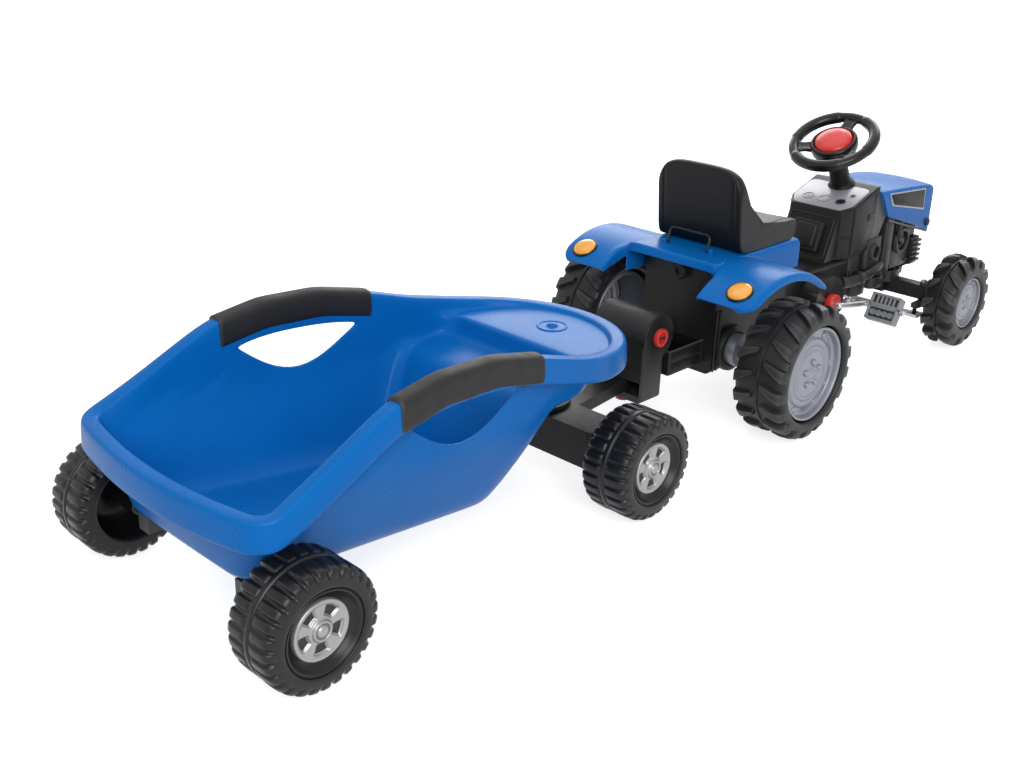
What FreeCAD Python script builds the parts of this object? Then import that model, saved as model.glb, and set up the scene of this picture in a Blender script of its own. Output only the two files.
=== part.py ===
import FreeCAD, Part
import math
import os
from FreeCAD import Vector

# Driving dimensions, in millimetres.
# X runs forward from the tractor rear axle, Y to the left, Z up from the floor.
# The finished solids are shifted along X at the end so the origin is the middle of the footprint.

# Fits and general walls
running_gap = 0.05
turning_gap = 0.4
slide_gap = 0.3
shell_wall = 3.0
overrun = 6.0

# Tractor wheels
wheelbase = 640.0
rear_tyre_radius = 118.0
rear_tyre_width = 100.0
rear_half_track = 208.0
rear_rim_radius = 85.0
rear_lug_height = 9.0
rear_lug_length = 16.0
front_tyre_radius = 94.0
front_tyre_width = 68.0
front_half_track = 194.0
front_rim_radius = 54.0
front_lug_height = 7.0
front_lug_length = 15.0
tyre_wall = 4.0
rim_wall = 4.0
rim_hub_wall = 10.0
rear_hub_inner_y = 112.0
axle_end_setback = 12.0
lug_counts = {"rear": 16, "front": 12}

# Body shell halves
housing_rear_x = -55.0
housing_front_x = 165.0
housing_half_width = 78.0
body_floor_z = 79.0
housing_top_z = 288.0
tunnel_half_width = 60.0
tunnel_front_x = 420.0
tunnel_top_z = 200.0
spine_front_x = 690.0
spine_half_width = 45.0
spine_floor_z = 110.0
spine_top_z = 132.0
body_corner = 12.0
plug_z = 254.0
plug_radius = 15.0
plug_height = 11.0
plug_socket_radius = 6.0

# Drive
crank_x = 300.0
crank_z = 138.0
crank_radius = 6.0
crank_arm = 98.0
crank_arm_y = 118.0
crank_rest_angle = -10.0
crank_boss_radius = 52.0
crank_boss_half_width = 96.0
crank_cap_radius = 19.0
crank_cap_height = 14.0
crank_spigot_radius = 10.0
pedal_axle_radius = 5.0
pedal_inner_y = 128.0
pedal_width = 70.0
pedal_length = 62.0
pedal_height = 22.0
pedal_corner = 5.0
pedal_rest_angle = 60.0
pedal_groove = 3.0
rear_axle_radius = 8.0
bush_spigot_radius = 14.0
bush_flange_radius = 29.0
bush_flange_width = 27.0
chain_pitch = 12.7
crank_teeth = 21
axle_teeth = 15
sprocket_y = 16.0
sprocket_thickness = 4.0
sprocket_hub_radius = 13.0
sprocket_hub_width = 14.0
tooth_height = 3.6
chain_plate = 2.0
chain_half_height = 5.0
chain_roller_radius = 3.2

# Front axle and steering
beam_floor_z = 80.0
beam_half_depth = 14.0
beam_pad_half_depth = 25.0
kingpin_y = 132.0
kingpin_radius = 5.0
kingpin_head_radius = 8.0
kingpin_head_height = 4.0
knuckle_plate = 7.6
knuckle_eye_radius = 16.0
knuckle_wall_inner = 15.0
knuckle_wall = 8.0
stub_radius = 7.0
stub_end_setback = 12.0
steer_arm = 45.0
steer_arm_width = 18.0
tie_pin_radius = 4.0
tie_pin_head_radius = 7.0
tie_pin_head_height = 3.0
tie_rod_z = 54.0
tie_rod_thickness = 6.0
tie_rod_half_depth = 8.0
tie_eye_half_depth = 15.0
tie_eye_half_width = 13.0
tie_slot_half_depth = 10.0
tie_slot_half_width = 4.9
pitman_slot_half_depth = 15.0
pitman_slot_half_width = 6.5
pitman_tab_half_width = 15.0
pitman_tab_margin = 8.0
column_radius = 6.0
column_tilt = 29.0
column_foot_x = 452.0
column_foot_z = 341.0
column_length = 90.0
column_end_z = 86.0
pitman_radius = 38.0
pitman_pin_length = 17.0
sleeve_radius = 19.0
wheel_rim_radius = 77.0
wheel_grip_radius = 10.0
wheel_hub_radius = 46.0
wheel_hub_height = 30.0
wheel_hub_drop = 26.0
spoke_width = 26.0
spoke_thickness = 10.0
horn_radius = 37.0
horn_rise = 9.0
horn_pocket_depth = 16.0
horn_travel = 4.0

# Cowl, engine and hood
cowl_rear_x = 335.0
cowl_lip_x = 372.0
cowl_lip_z = 297.0
cowl_front_x = 490.0
cowl_half_width = 70.0
cowl_chamfer = 16.0
cowl_recess_depth = 8.0
cowl_recess_half_width = 40.0
cowl_recess_floor_z = 214.0
cowl_recess_top_z = 268.0
dash_thickness = 1.6
dash_inset = 7.0
dash_length = 80.0
gauge_radius = 11.0
gauge_height = 1.4
engine_half_width = 62.0
engine_top_z = 262.0
engine_corner = 8.0
relief_depth = 7.0
pipe_radius = 9.0
hood_half_width = 80.0
hood_front_x = 708.0
hood_rear_low_z = 270.0
hood_front_low_z = 205.0
hood_rear_top_z = 350.0
hood_peak_z = 357.0
hood_nose_z = 308.0
hood_corner = 18.0
hood_rib_y = 50.0
hood_panel_depth = 1.5
grille_thickness = 6.0
grille_half_width = 60.0
grille_floor_z = 214.0
grille_top_z = 300.0
grille_slot = 7.0
headlamp_radius = 17.0
headlamp_depth = 5.0
headlamp_y = 40.0

# Fender saddle and seat
saddle_rear_x = -92.0
saddle_front_x = 168.0
saddle_half_width = 95.0
saddle_skirt_z = 238.0
saddle_lip = 12.0
saddle_corner = 10.0
fender_centre_x = -35.0
fender_centre_z = 105.0
fender_radius = 186.0
fender_half_angle = 40.5
fender_outer_y = 206.0
fender_inner_y = 100.0
fender_lip = 15.0
fender_inner_skirt = 34.0
fender_tail_angle = 104.0
lamp_radius = 21.0
lamp_height = 7.0
lamp_angle = 118.0
lamp_y = 166.0
seat_half_width = 88.0
seat_back_x = -16.0
seat_back_top_x = -32.0
seat_back_top_z = 438.0
seat_front_x = 161.0
seat_pan_z = 328.0
seat_back_depth = 36.0
seat_corner = 42.0
seat_wall = 3.5
bail_x = -44.0
bail_half_width = 42.0
bail_height = 26.0
bail_wire_radius = 2.4
bail_clip = 8.0
bail_bend = 9.0
bail_lean = 14.0

# Hitch between tractor and trailer
hitch_bracket_rear_x = -150.0
hitch_bracket_half_width = 58.0
hitch_bracket_floor_z = 97.0
hitch_bracket_top_z = 140.0
hitch_wall = 4.0
drum_x = -180.0
drum_z = 175.0
drum_radius = 40.0
drum_half_width = 55.0
tongue_half_width = 14.0
tongue_eye_radius = 22.0
tongue_slot_gap = 3.0
drum_pin_radius = 8.0
hitch_cap_radius = 16.0
hitch_cap_height = 7.0
hitch_cap_pocket = 2.0
head_front_x = -166.0
head_rear_x = -220.0
head_half_width = 52.0
head_spine = 8.0
fork_floor_z = 64.0
fork_plate = 12.0
drawbar_pin_x = -196.0
drawbar_pin_radius = 7.0
drawbar_cap_radius = 13.0
drawbar_cap_height = 11.0
drawbar_cap_pocket = 6.0
drawbar_floor_z = 78.0
drawbar_thickness = 22.0
drawbar_eye_radius = 19.0
drawbar_root_half_width = 44.0

# Bogie and trailer running gear
bogie_x = -421.0
trailer_wheelbase = 604.0
bogie_half_depth = 34.0
bogie_half_width = 150.0
bogie_floor_z = 54.0
bogie_top_z = 116.0
bogie_wall = 4.0
bogie_corner = 10.0
turntable_radius = 58.0
turntable_height = 6.0
king_bolt_radius = 8.0
king_head_radius = 13.0
king_head_height = 9.0
boss_radius = 30.0
boss_floor = 6.0
trailer_axle_radius = 6.0
trailer_wheel_radius = 82.0
trailer_wheel_width = 84.0
trailer_half_track = 210.0
trailer_bead_radius = 46.0
trailer_tread_wall = 6.5
trailer_groove_depth = 3.2
trailer_groove = 4.5
trailer_block_count = 28
trailer_ring_groove = 3.0
trailer_web_y = 27.0
trailer_web = 5.0
trailer_hub_radius = 12.0
trailer_hub_inner_y = 154.0
hubcap_radius = 40.0
hubcap_thickness = 4.0
hubcap_rim = 5.0
hubcap_rim_height = 3.0
hubcap_dome_radius = 13.0
hubcap_dome_height = 13.0
hubcap_windows = 5
axle_bracket_half_depth = 20.0
axle_bracket_inner_y = 100.0
axle_bracket_outer_y = 124.0
axle_bracket_floor_z = 70.0

# Tub
tub_wall = 3.2
tub_skin = 3.0
tub_rear_x = -1097.0
tub_rim_half_width = 206.0
tub_nose_x = -302.0
tub_nose_half_width = 178.0
tub_rear_corner = 60.0
tub_nose_corner = 176.0
tub_lip_inset = 9.0
tub_lower_z = 40.0
tub_lower_half_width = 120.0
tub_lower_rear_x = -1047.0
tub_upper_z = 340.0
tub_upper_half_width = 231.0
tub_upper_rear_x = -1111.0
tub_lower_corner = 42.0
tub_floor_rear_z = 97.0
tub_floor_rear_x = -1062.0
tub_floor_front_z = 52.0
tub_floor_front_x = -637.0
tub_ramp_top_x = -560.0
tub_ramp_top_z = 186.0
tub_ledge_front_x = -466.0
tub_ledge_front_z = 190.0
tub_riser_x = -462.0
tub_rim_rear_z = 216.0
tub_rim_handle_z = 316.0
tub_rim_nose_z = 237.0
tub_platform_z = 229.0
tub_platform_border = 16.0
tub_skirt = 50.0
hand_hole_rear_x = -842.0
hand_hole_front_x = -642.0
hand_hole_low_z = 200.0
hand_hole_top_rear_z = 256.0
hand_hole_top_front_z = 256.0
grip_rear_x = -872.0
grip_front_x = -610.0
grip_skin = 4.0
grip_drop = 44.0
dial_radius = 25.0
dial_height = 3.0
dial_x = -386.0
dial_bump_radius = 8.0
dial_bump_height = 4.0

# Shares, chosen by hand
tyre_side_share = 0.45
tyre_bead_share = 0.88
tyre_tread_share = 0.70
tyre_shoulder_shares = (0.72, 0.80)
tyre_crown_share = 0.012
lug_half_share = 0.5
lug_widen_share = 1.25
lug_sweep_share = 1.05
rim_dish_shares = ((0.955, 0.80), (0.90, 0.60), (0.72, 0.52), (0.66, 0.66), (0.40, 0.62), (0.32, 0.78), (0.16, 0.78))
rim_slot_shares = (0.75, 0.85)
rim_slot_angle_share = 0.11
rim_bolt_shares = (0.50, 0.055, 0.10)
hood_panel_shares = (0.10, 0.94)
hood_top_shares = ((0.33, 1.0), (0.66, 0.86), (0.90, 0.50))
# Rim height of the tub against its length: place along the tub, then height between low and handle height.
rim_rear_shares = ((0.0, 0.0), (0.06, 0.06), (0.14, 0.34), (0.27, 0.86), (0.38, 1.0), (0.50, 0.96), (0.61, 0.76))
rim_front_shares = ((0.71, 0.38), (0.81, 0.17), (0.90, 0.06), (1.0, 0.0))
spoke_angles = (0.0, 120.0, 240.0)
gauge_shares = (-0.5, 0.0, 0.5)
hubcap_window_shares = (0.42, 0.80, 0.58)
relief_shares = (
    (0.05, 0.24, 0.10, 0.46),
    (0.30, 0.52, 0.16, 0.60),
    (0.58, 0.66, 0.06, 0.86),
    (0.72, 0.92, 0.12, 0.40),
    (0.70, 0.94, 0.52, 0.80),
)
pulley_shares = ((0.40, 0.38, 0.13), (0.82, 0.30, 0.10))
pipe_shares = ((0.10, 0.72), (0.62, 0.40))
pedal_rib_shares = (-0.36, -0.18, 0.0, 0.18, 0.36)
chain_clear_share = 0.75
cowl_facet_share = 1.5
seat_front_share = 0.62

# Places that follow from the sizes above
deck_z = housing_top_z + shell_wall
front_axle_z = front_tyre_radius
trailer_axle_x = bogie_x - trailer_wheelbase
trailer_axle_z = trailer_wheel_radius
front_end_x = wheelbase + front_tyre_radius
rear_end_x = trailer_axle_x - trailer_wheel_radius
origin_x = (front_end_x + rear_end_x) / 2
tilt = math.radians(column_tilt)
column_up = Vector(-math.sin(tilt), 0, math.cos(tilt))
column_side = Vector(math.cos(tilt), 0, math.sin(tilt))
column_foot = Vector(column_foot_x, 0, column_foot_z)
wheel_centre = column_foot + column_up * column_length
column_end = column_foot + column_up * ((column_end_z - column_foot_z) / math.cos(tilt))
pitman_tip = column_end - column_side * pitman_radius
X_AXIS = Vector(1, 0, 0)
Y_AXIS = Vector(0, 1, 0)
Z_AXIS = Vector(0, 0, 1)
ZERO = Vector(0, 0, 0)


def box(x0, x1, y0, y1, z0, z1):
    return Part.makeBox(x1 - x0, y1 - y0, z1 - z0, Vector(x0, y0, z0))


def rod(start, end, radius):
    along = end - start
    return Part.makeCylinder(radius, along.Length, start, along)


def y_rod(x, z, y0, y1, radius):
    return Part.makeCylinder(radius, y1 - y0, Vector(x, y0, z), Y_AXIS)


def z_rod(x, y, z0, z1, radius):
    return Part.makeCylinder(radius, z1 - z0, Vector(x, y, z0), Z_AXIS)


def edges_along(shape, axis):
    found = []
    for edge in shape.Edges:
        if edge.Curve.TypeId != "Part::GeomLine":
            continue
        way = edge.Curve.Direction
        if abs(abs(way.dot(axis)) - 1) < 1e-6:
            found.append(edge)
    return found


def soft_box(x0, x1, y0, y1, z0, z1, radius, axes):
    shape = box(x0, x1, y0, y1, z0, z1)
    for axis in axes:
        shape = shape.makeFillet(radius, edges_along(shape, axis))
    return shape


def side_points(points, y):
    return [Vector(x, y, z) for x, z in points]


def side_prism(points, y0, y1):
    corners = side_points(points, y0)
    wire = Part.makePolygon(corners + corners[:1])
    return Part.Face(wire).extrude(Vector(0, y1 - y0, 0))


def plan_prism(points, z0, z1):
    corners = [Vector(x, y, z0) for x, y in points]
    wire = Part.makePolygon(corners + corners[:1])
    return Part.Face(wire).extrude(Vector(0, 0, z1 - z0))


def rounded_wire(points, radii, z):
    edges = []
    starts = []
    ends = []
    mids = []
    count = len(points)
    for index in range(count):
        here = Vector(points[index][0], points[index][1], z)
        before = Vector(points[index - 1][0], points[index - 1][1], z)
        after_index = (index + 1) % count
        after = Vector(points[after_index][0], points[after_index][1], z)
        back = (before - here).normalize()
        ahead = (after - here).normalize()
        half = math.acos(max(-1.0, min(1.0, back.dot(ahead)))) / 2
        reach = radii[index] / math.tan(half)
        middle = (back + ahead).normalize()
        centre = here + middle * (radii[index] / math.sin(half))
        starts.append(here + back * reach)
        ends.append(here + ahead * reach)
        mids.append(centre - middle * radii[index])
    for index in range(count):
        edges.append(Part.Arc(starts[index], mids[index], ends[index]).toShape())
        following = (index + 1) % count
        edges.append(Part.LineSegment(ends[index], starts[following]).toShape())
    return Part.Wire(edges)


def rounded_prism(points, radii, z0, z1):
    return Part.Face(rounded_wire(points, radii, z0)).extrude(Vector(0, 0, z1 - z0))


def spun(points):
    corners = [Vector(radius, y, 0) for radius, y in points]
    wire = Part.makePolygon(corners + corners[:1])
    return Part.Face(wire).revolve(ZERO, Y_AXIS, 360)


def around_y(shape, count, offset=0.0):
    copies = []
    for index in range(count):
        copy = shape.copy()
        copy.rotate(ZERO, Y_AXIS, offset + 360.0 * index / count)
        copies.append(copy)
    return copies


def mirrored(shape):
    return shape.mirror(ZERO, Y_AXIS)


def moved(shape, x, y, z):
    copy = shape.copy()
    copy.translate(Vector(x, y, z))
    return copy


def both_sides(shape):
    return [shape, mirrored(shape)]


def joined(shapes):
    first = shapes[0]
    if len(shapes) == 1:
        return first
    return first.fuse(shapes[1:]).removeSplitter()


def sector(centre_x, centre_z, inner, outer, y0, y1, angle0, angle1):
    corners = [Vector(inner, y0, 0), Vector(outer, y0, 0), Vector(outer, y1, 0), Vector(inner, y1, 0)]
    face = Part.Face(Part.makePolygon(corners + corners[:1]))
    shape = face.revolve(ZERO, Y_AXIS, angle0 - angle1)
    shape.rotate(ZERO, Y_AXIS, -angle0)
    return moved(shape, centre_x, 0, centre_z)


def save(name, shape):
    placed = shape.copy()
    placed.translate(Vector(-origin_x, 0, 0))
    solids = placed.Solids
    result = solids[0] if len(solids) == 1 else Part.makeCompound(solids)
    result.exportStep("parts/" + name + ".step")


# Wheels, drawn about their own middle with the outer face towards positive Y

def tyre_body(radius, half, bore, wall):
    side = bore + (radius - bore) * tyre_side_share
    bead = half * tyre_bead_share
    tread = half * tyre_tread_share
    along, across = tyre_shoulder_shares
    p0 = Vector(bore, bead, 0)
    p1 = Vector(side, half, 0)
    p2 = Vector(radius, tread, 0)
    bulge = Vector(side + (radius - side) * along, tread + (half - tread) * across, 0)
    low = Vector((bore + side) / 2, bead + (half - bead) * along, 0)
    crown = Vector(radius + radius * tyre_crown_share, 0, 0)
    inner = [Vector(bore, bead - wall, 0), Vector(side, half - wall, 0), Vector(radius - wall, tread - wall / 2, 0)]

    def over(point):
        return Vector(point.x, -point.y, 0)

    edges = [
        Part.LineSegment(inner[0], p0).toShape(),
        Part.Arc(p0, low, p1).toShape(),
        Part.Arc(p1, bulge, p2).toShape(),
        Part.Arc(p2, crown, over(p2)).toShape(),
        Part.Arc(over(p2), over(bulge), over(p1)).toShape(),
        Part.Arc(over(p1), over(low), over(p0)).toShape(),
    ]
    back = [over(p0), over(inner[0]), over(inner[1]), over(inner[2]), inner[2], inner[1], inner[0]]
    for first, second in zip(back, back[1:]):
        edges.append(Part.LineSegment(first, second).toShape())
    return Part.Face(Part.Wire(edges)).revolve(ZERO, Y_AXIS, 360)


def tyre_envelope(radius, half, bore):
    solid = tyre_body(radius, half, bore, tyre_wall)
    inside = Part.makeCylinder(radius - tyre_wall, half * 2, Vector(0, -half, 0), Y_AXIS)
    return solid.fuse(inside)


def lug_tyre(radius, width, bore, height, length, count):
    half = width / 2
    carcass_radius = radius / (1 + tyre_crown_share) - height
    envelope_radius = radius / (1 + tyre_crown_share)
    carcass = tyre_body(carcass_radius, half, bore, tyre_wall)
    envelope = tyre_envelope(envelope_radius, half, bore)
    inner = length * lug_half_share
    outer = inner * lug_widen_share
    sweep = length * lug_sweep_share
    base = carcass_radius - tyre_wall / 2
    corners = [
        Vector(-inner, -inner / 2, base),
        Vector(inner, -inner / 2, base),
        Vector(sweep + outer, half, base),
        Vector(sweep - outer, half, base),
    ]
    face = Part.Face(Part.makePolygon(corners + corners[:1]))
    lug = face.extrude(Vector(0, 0, radius - base + overrun)).common(envelope)
    other = mirrored(lug)
    half_pitch = 180.0 / count
    lugs = around_y(lug, count) + around_y(other, count, half_pitch)
    return carcass.fuse(lugs)


def wheel_rim(radius, width, axle_radius, gap, hub_inner_y, middle_y, axle_end_y):
    half = width / 2
    bead = half * tyre_bead_share
    barrel_inner = radius - rim_wall
    hub = axle_radius + rim_hub_wall
    inner_end = hub_inner_y - middle_y
    outer_end = axle_end_y - middle_y + slide_gap
    barrel = spun([(barrel_inner, -bead), (radius, -bead), (radius, bead), (barrel_inner, bead)])
    front = [(radius - rim_wall / 2, bead * rim_dish_shares[0][1])]
    for reach, depth in rim_dish_shares:
        front.append((radius * reach, half * depth))
    back = [(reach, depth - rim_wall) for reach, depth in reversed(front)]
    dish = spun(front + back)
    tube = Part.makeCylinder(hub, outer_end - inner_end + rim_wall, Vector(0, inner_end, 0), Y_AXIS)
    rim = barrel.fuse([dish, tube])
    slot_in, slot_out = rim_slot_shares
    slot_angle = 360.0 * rim_slot_angle_share
    slot = sector(0, 0, radius * slot_in, radius * slot_out, 0, half, 0, slot_angle)
    rim = rim.cut(around_y(slot, 4, slot_angle / 2))
    bolt_place, bolt_radius, bolt_height = rim_bolt_shares
    face_y = half * rim_dish_shares[4][1]
    bolt = Part.makeCylinder(
        radius * bolt_radius,
        radius * bolt_height,
        Vector(radius * bolt_place, face_y - rim_wall / 2, 0),
        Y_AXIS,
    )
    rim = rim.fuse(around_y(bolt, 5))
    bore = Part.makeCylinder(axle_radius + gap, outer_end - inner_end, Vector(0, inner_end, 0), Y_AXIS)
    return rim.cut(bore)


def build_tractor_wheels():
    rear = lug_tyre(
        rear_tyre_radius, rear_tyre_width, rear_rim_radius, rear_lug_height, rear_lug_length, lug_counts["rear"]
    )
    left = moved(rear, 0, rear_half_track, rear_tyre_radius)
    save("rear_tyre_left", left)
    save("rear_tyre_right", mirrored(left))
    axle_end = rear_half_track + rear_tyre_width / 2 - axle_end_setback
    for name, gap in (("left", running_gap), ("right", 0.0)):
        rim = wheel_rim(
            rear_rim_radius, rear_tyre_width, rear_axle_radius, gap, rear_hub_inner_y, rear_half_track, axle_end
        )
        rim = moved(rim, 0, rear_half_track, rear_tyre_radius)
        save("rear_rim_" + name, rim if name == "left" else mirrored(rim))
    axle = y_rod(0, rear_tyre_radius, -axle_end, axle_end, rear_axle_radius)
    save("rear_axle", axle)
    front = lug_tyre(
        front_tyre_radius, front_tyre_width, front_rim_radius, front_lug_height, front_lug_length, lug_counts["front"]
    )
    left = moved(front, wheelbase, front_half_track, front_axle_z)
    save("front_tyre_left", left)
    save("front_tyre_right", mirrored(left))
    stub_end = front_half_track + front_tyre_width / 2 - stub_end_setback
    hub_inner = kingpin_y + knuckle_wall_inner + knuckle_wall + slide_gap
    rim = wheel_rim(
        front_rim_radius, front_tyre_width, stub_radius, running_gap, hub_inner, front_half_track, stub_end
    )
    left = moved(rim, wheelbase, front_half_track, front_axle_z)
    save("front_rim_left", left)
    save("front_rim_right", mirrored(left))


# Body shell halves, split on the centre seam

def body_outer(inset):
    rear = soft_box(
        housing_rear_x + inset, housing_front_x - inset, inset - housing_half_width, housing_half_width - inset,
        body_floor_z + inset, housing_top_z - inset, body_corner - inset, [X_AXIS],
    )
    tunnel = soft_box(
        housing_front_x - overrun - inset, tunnel_front_x - inset, inset - tunnel_half_width,
        tunnel_half_width - inset, body_floor_z + inset, tunnel_top_z - inset, body_corner - inset, [X_AXIS],
    )
    spine = box(
        tunnel_front_x - overrun - inset, spine_front_x - inset, inset - spine_half_width,
        spine_half_width - inset, spine_floor_z + inset, spine_top_z - inset,
    )
    boss_half = crank_boss_half_width - inset
    boss = y_rod(crank_x, crank_z, -boss_half, boss_half, crank_boss_radius - inset)
    return rear.fuse([tunnel, spine, boss])


def build_body():
    shell = body_outer(0).cut(body_outer(shell_wall))
    reach = crank_boss_half_width + overrun
    cuts = [
        y_rod(crank_x, crank_z, -reach, reach, crank_spigot_radius),
        y_rod(0, rear_tyre_radius, -reach, reach, bush_spigot_radius),
        rod(column_end, column_foot, column_radius + running_gap),
    ]
    shell = shell.cut(cuts)
    left_side = box(
        housing_rear_x - overrun, spine_front_x + overrun, 0, crank_boss_half_width + overrun,
        body_floor_z - overrun, housing_top_z + overrun,
    )
    save("chassis_left", shell.common(left_side))
    save("chassis_right", shell.cut(left_side))
    plug_end = Vector(housing_rear_x - plug_height, 0, plug_z)
    plug = rod(Vector(housing_rear_x, 0, plug_z), plug_end, plug_radius)
    plug = plug.makeFillet(shell_wall, [edge for edge in plug.Edges if edge.CenterOfMass.x < plug_end.x + shell_wall
                                        and edge.Curve.TypeId == "Part::GeomCircle"])
    socket = rod(plug_end, plug_end + Vector(shell_wall, 0, 0), plug_socket_radius)
    save("rear_plug", plug.cut(socket))
    flange_end = housing_half_width + bush_flange_width
    spigot = y_rod(0, rear_tyre_radius, housing_half_width - shell_wall, housing_half_width, bush_spigot_radius)
    flange = y_rod(0, rear_tyre_radius, housing_half_width, flange_end, bush_flange_radius)
    bore = y_rod(0, rear_tyre_radius, 0, flange_end, rear_axle_radius + running_gap)
    bushes = both_sides(spigot.fuse(flange).cut(bore))
    save("axle_bushes", Part.makeCompound(bushes))
    cap_end = crank_boss_half_width + crank_cap_height
    spigot = y_rod(crank_x, crank_z, crank_boss_half_width - shell_wall, crank_boss_half_width, crank_spigot_radius)
    cap = y_rod(crank_x, crank_z, crank_boss_half_width, cap_end, crank_cap_radius)
    bore = y_rod(crank_x, crank_z, 0, cap_end, crank_radius + running_gap)
    save("crank_caps", Part.makeCompound(both_sides(spigot.fuse(cap).cut(bore))))


# Drive train

def sprocket(teeth, bore):
    pitch = teeth * chain_pitch / (2 * math.pi)
    root = pitch - tooth_height
    tip = pitch + tooth_height
    step = 2 * math.pi / teeth
    corners = []
    for index in range(teeth):
        for share, radius in ((0.0, root), (0.30, root), (0.55, tip), (0.75, tip)):
            angle = step * (index + share)
            corners.append(Vector(radius * math.cos(angle), -sprocket_thickness / 2, radius * math.sin(angle)))
    disc = Part.Face(Part.makePolygon(corners + corners[:1])).extrude(Vector(0, sprocket_thickness, 0))
    hub = y_rod(0, 0, -sprocket_hub_width / 2, sprocket_hub_width / 2, sprocket_hub_radius)
    cut = y_rod(0, 0, -sprocket_hub_width, sprocket_hub_width, bore)
    return disc.fuse(hub).cut(cut)


def loop_face(rear_radius, front_radius, y):
    rear = Vector(0, y, rear_tyre_radius)
    front = Vector(crank_x, y, crank_z)
    along = front - rear
    span = along.Length
    slope = math.atan2(along.z, along.x)
    lean = math.asin((front_radius - rear_radius) / span)
    top = slope + math.pi / 2 + lean
    low = slope - math.pi / 2 - lean

    def place(centre, radius, angle):
        return centre + Vector(radius * math.cos(angle), 0, radius * math.sin(angle))

    edges = [
        Part.LineSegment(place(rear, rear_radius, top), place(front, front_radius, top)).toShape(),
        Part.Arc(
            place(front, front_radius, top), place(front, front_radius, slope), place(front, front_radius, low)
        ).toShape(),
        Part.LineSegment(place(front, front_radius, low), place(rear, rear_radius, low)).toShape(),
        Part.Arc(
            place(rear, rear_radius, low), place(rear, rear_radius, slope + math.pi), place(rear, rear_radius, top)
        ).toShape(),
    ]
    return Part.Face(Part.Wire(edges)), place(rear, rear_radius, top), place(front, front_radius, top), \
        place(rear, rear_radius, low), place(front, front_radius, low)


def build_drive():
    arm_angle = math.radians(crank_rest_angle)
    middle = Vector(crank_x, 0, crank_z)
    reach = Vector(crank_arm * math.cos(arm_angle), 0, crank_arm * math.sin(arm_angle))
    side = Vector(0, -crank_arm_y, 0)
    pedal_end = pedal_inner_y + pedal_width + pedal_corner
    pieces = [rod(middle + side, middle - side, crank_radius)]
    for sign in (1, -1):
        corner = middle + side * sign
        elbow = corner + reach * sign
        end = Vector(elbow.x, -pedal_end * sign, elbow.z)
        pieces.append(rod(corner, elbow, crank_radius))
        pieces.append(Part.makeSphere(crank_radius, corner))
        pieces.append(Part.makeSphere(crank_radius, elbow))
        pieces.append(rod(elbow, end, pedal_axle_radius))
    save("crank", joined(pieces))
    for name, sign in (("right", 1), ("left", -1)):
        place = middle + reach * sign
        half_long = pedal_length / 2
        half_high = pedal_height / 2
        block = soft_box(
            -half_long, half_long, pedal_inner_y, pedal_inner_y + pedal_width, -half_high, half_high,
            pedal_corner, [Y_AXIS],
        )
        grooves = []
        for share in pedal_rib_shares:
            x = pedal_length * share
            for level in (half_high - pedal_groove, -half_high):
                grooves.append(box(
                    x - pedal_groove / 2, x + pedal_groove / 2, pedal_inner_y + pedal_corner,
                    pedal_inner_y + pedal_width - pedal_corner, level, level + pedal_groove,
                ))
        bore = y_rod(0, 0, pedal_inner_y, pedal_inner_y + pedal_width, pedal_axle_radius + running_gap)
        pedal = block.cut(grooves + [bore])
        pedal.rotate(ZERO, Y_AXIS, -pedal_rest_angle)
        if sign > 0:
            pedal = mirrored(pedal)
        save("pedal_" + name, moved(pedal, place.x, 0, place.z))
    save("crank_sprocket", moved(sprocket(crank_teeth, crank_radius), crank_x, sprocket_y, crank_z))
    save("axle_sprocket", moved(sprocket(axle_teeth, rear_axle_radius), 0, sprocket_y, rear_tyre_radius))
    rear_pitch = axle_teeth * chain_pitch / (2 * math.pi)
    front_pitch = crank_teeth * chain_pitch / (2 * math.pi)
    inner_face = sprocket_thickness / 2 + slide_gap
    parts = []
    for y in (sprocket_y - inner_face - chain_plate, sprocket_y + inner_face):
        outer = loop_face(rear_pitch + chain_half_height, front_pitch + chain_half_height, y)[0]
        inner = loop_face(rear_pitch - chain_half_height, front_pitch - chain_half_height, y)[0]
        parts.append(outer.cut(inner).extrude(Vector(0, chain_plate, 0)))
    runs = loop_face(rear_pitch, front_pitch, sprocket_y)
    clear = (front_pitch + tooth_height) * chain_clear_share
    for start, end in ((runs[1], runs[2]), (runs[3], runs[4])):
        along = end - start
        way = Vector(along).normalize()
        count = int((along.Length - 2 * clear) / chain_pitch)
        for index in range(count + 1):
            point = start + way * (clear + index * chain_pitch)
            parts.append(y_rod(
                point.x, point.z, sprocket_y - inner_face - chain_plate, sprocket_y + inner_face + chain_plate,
                chain_roller_radius,
            ))
    save("chain", joined(parts))


# Front axle and steering

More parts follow.
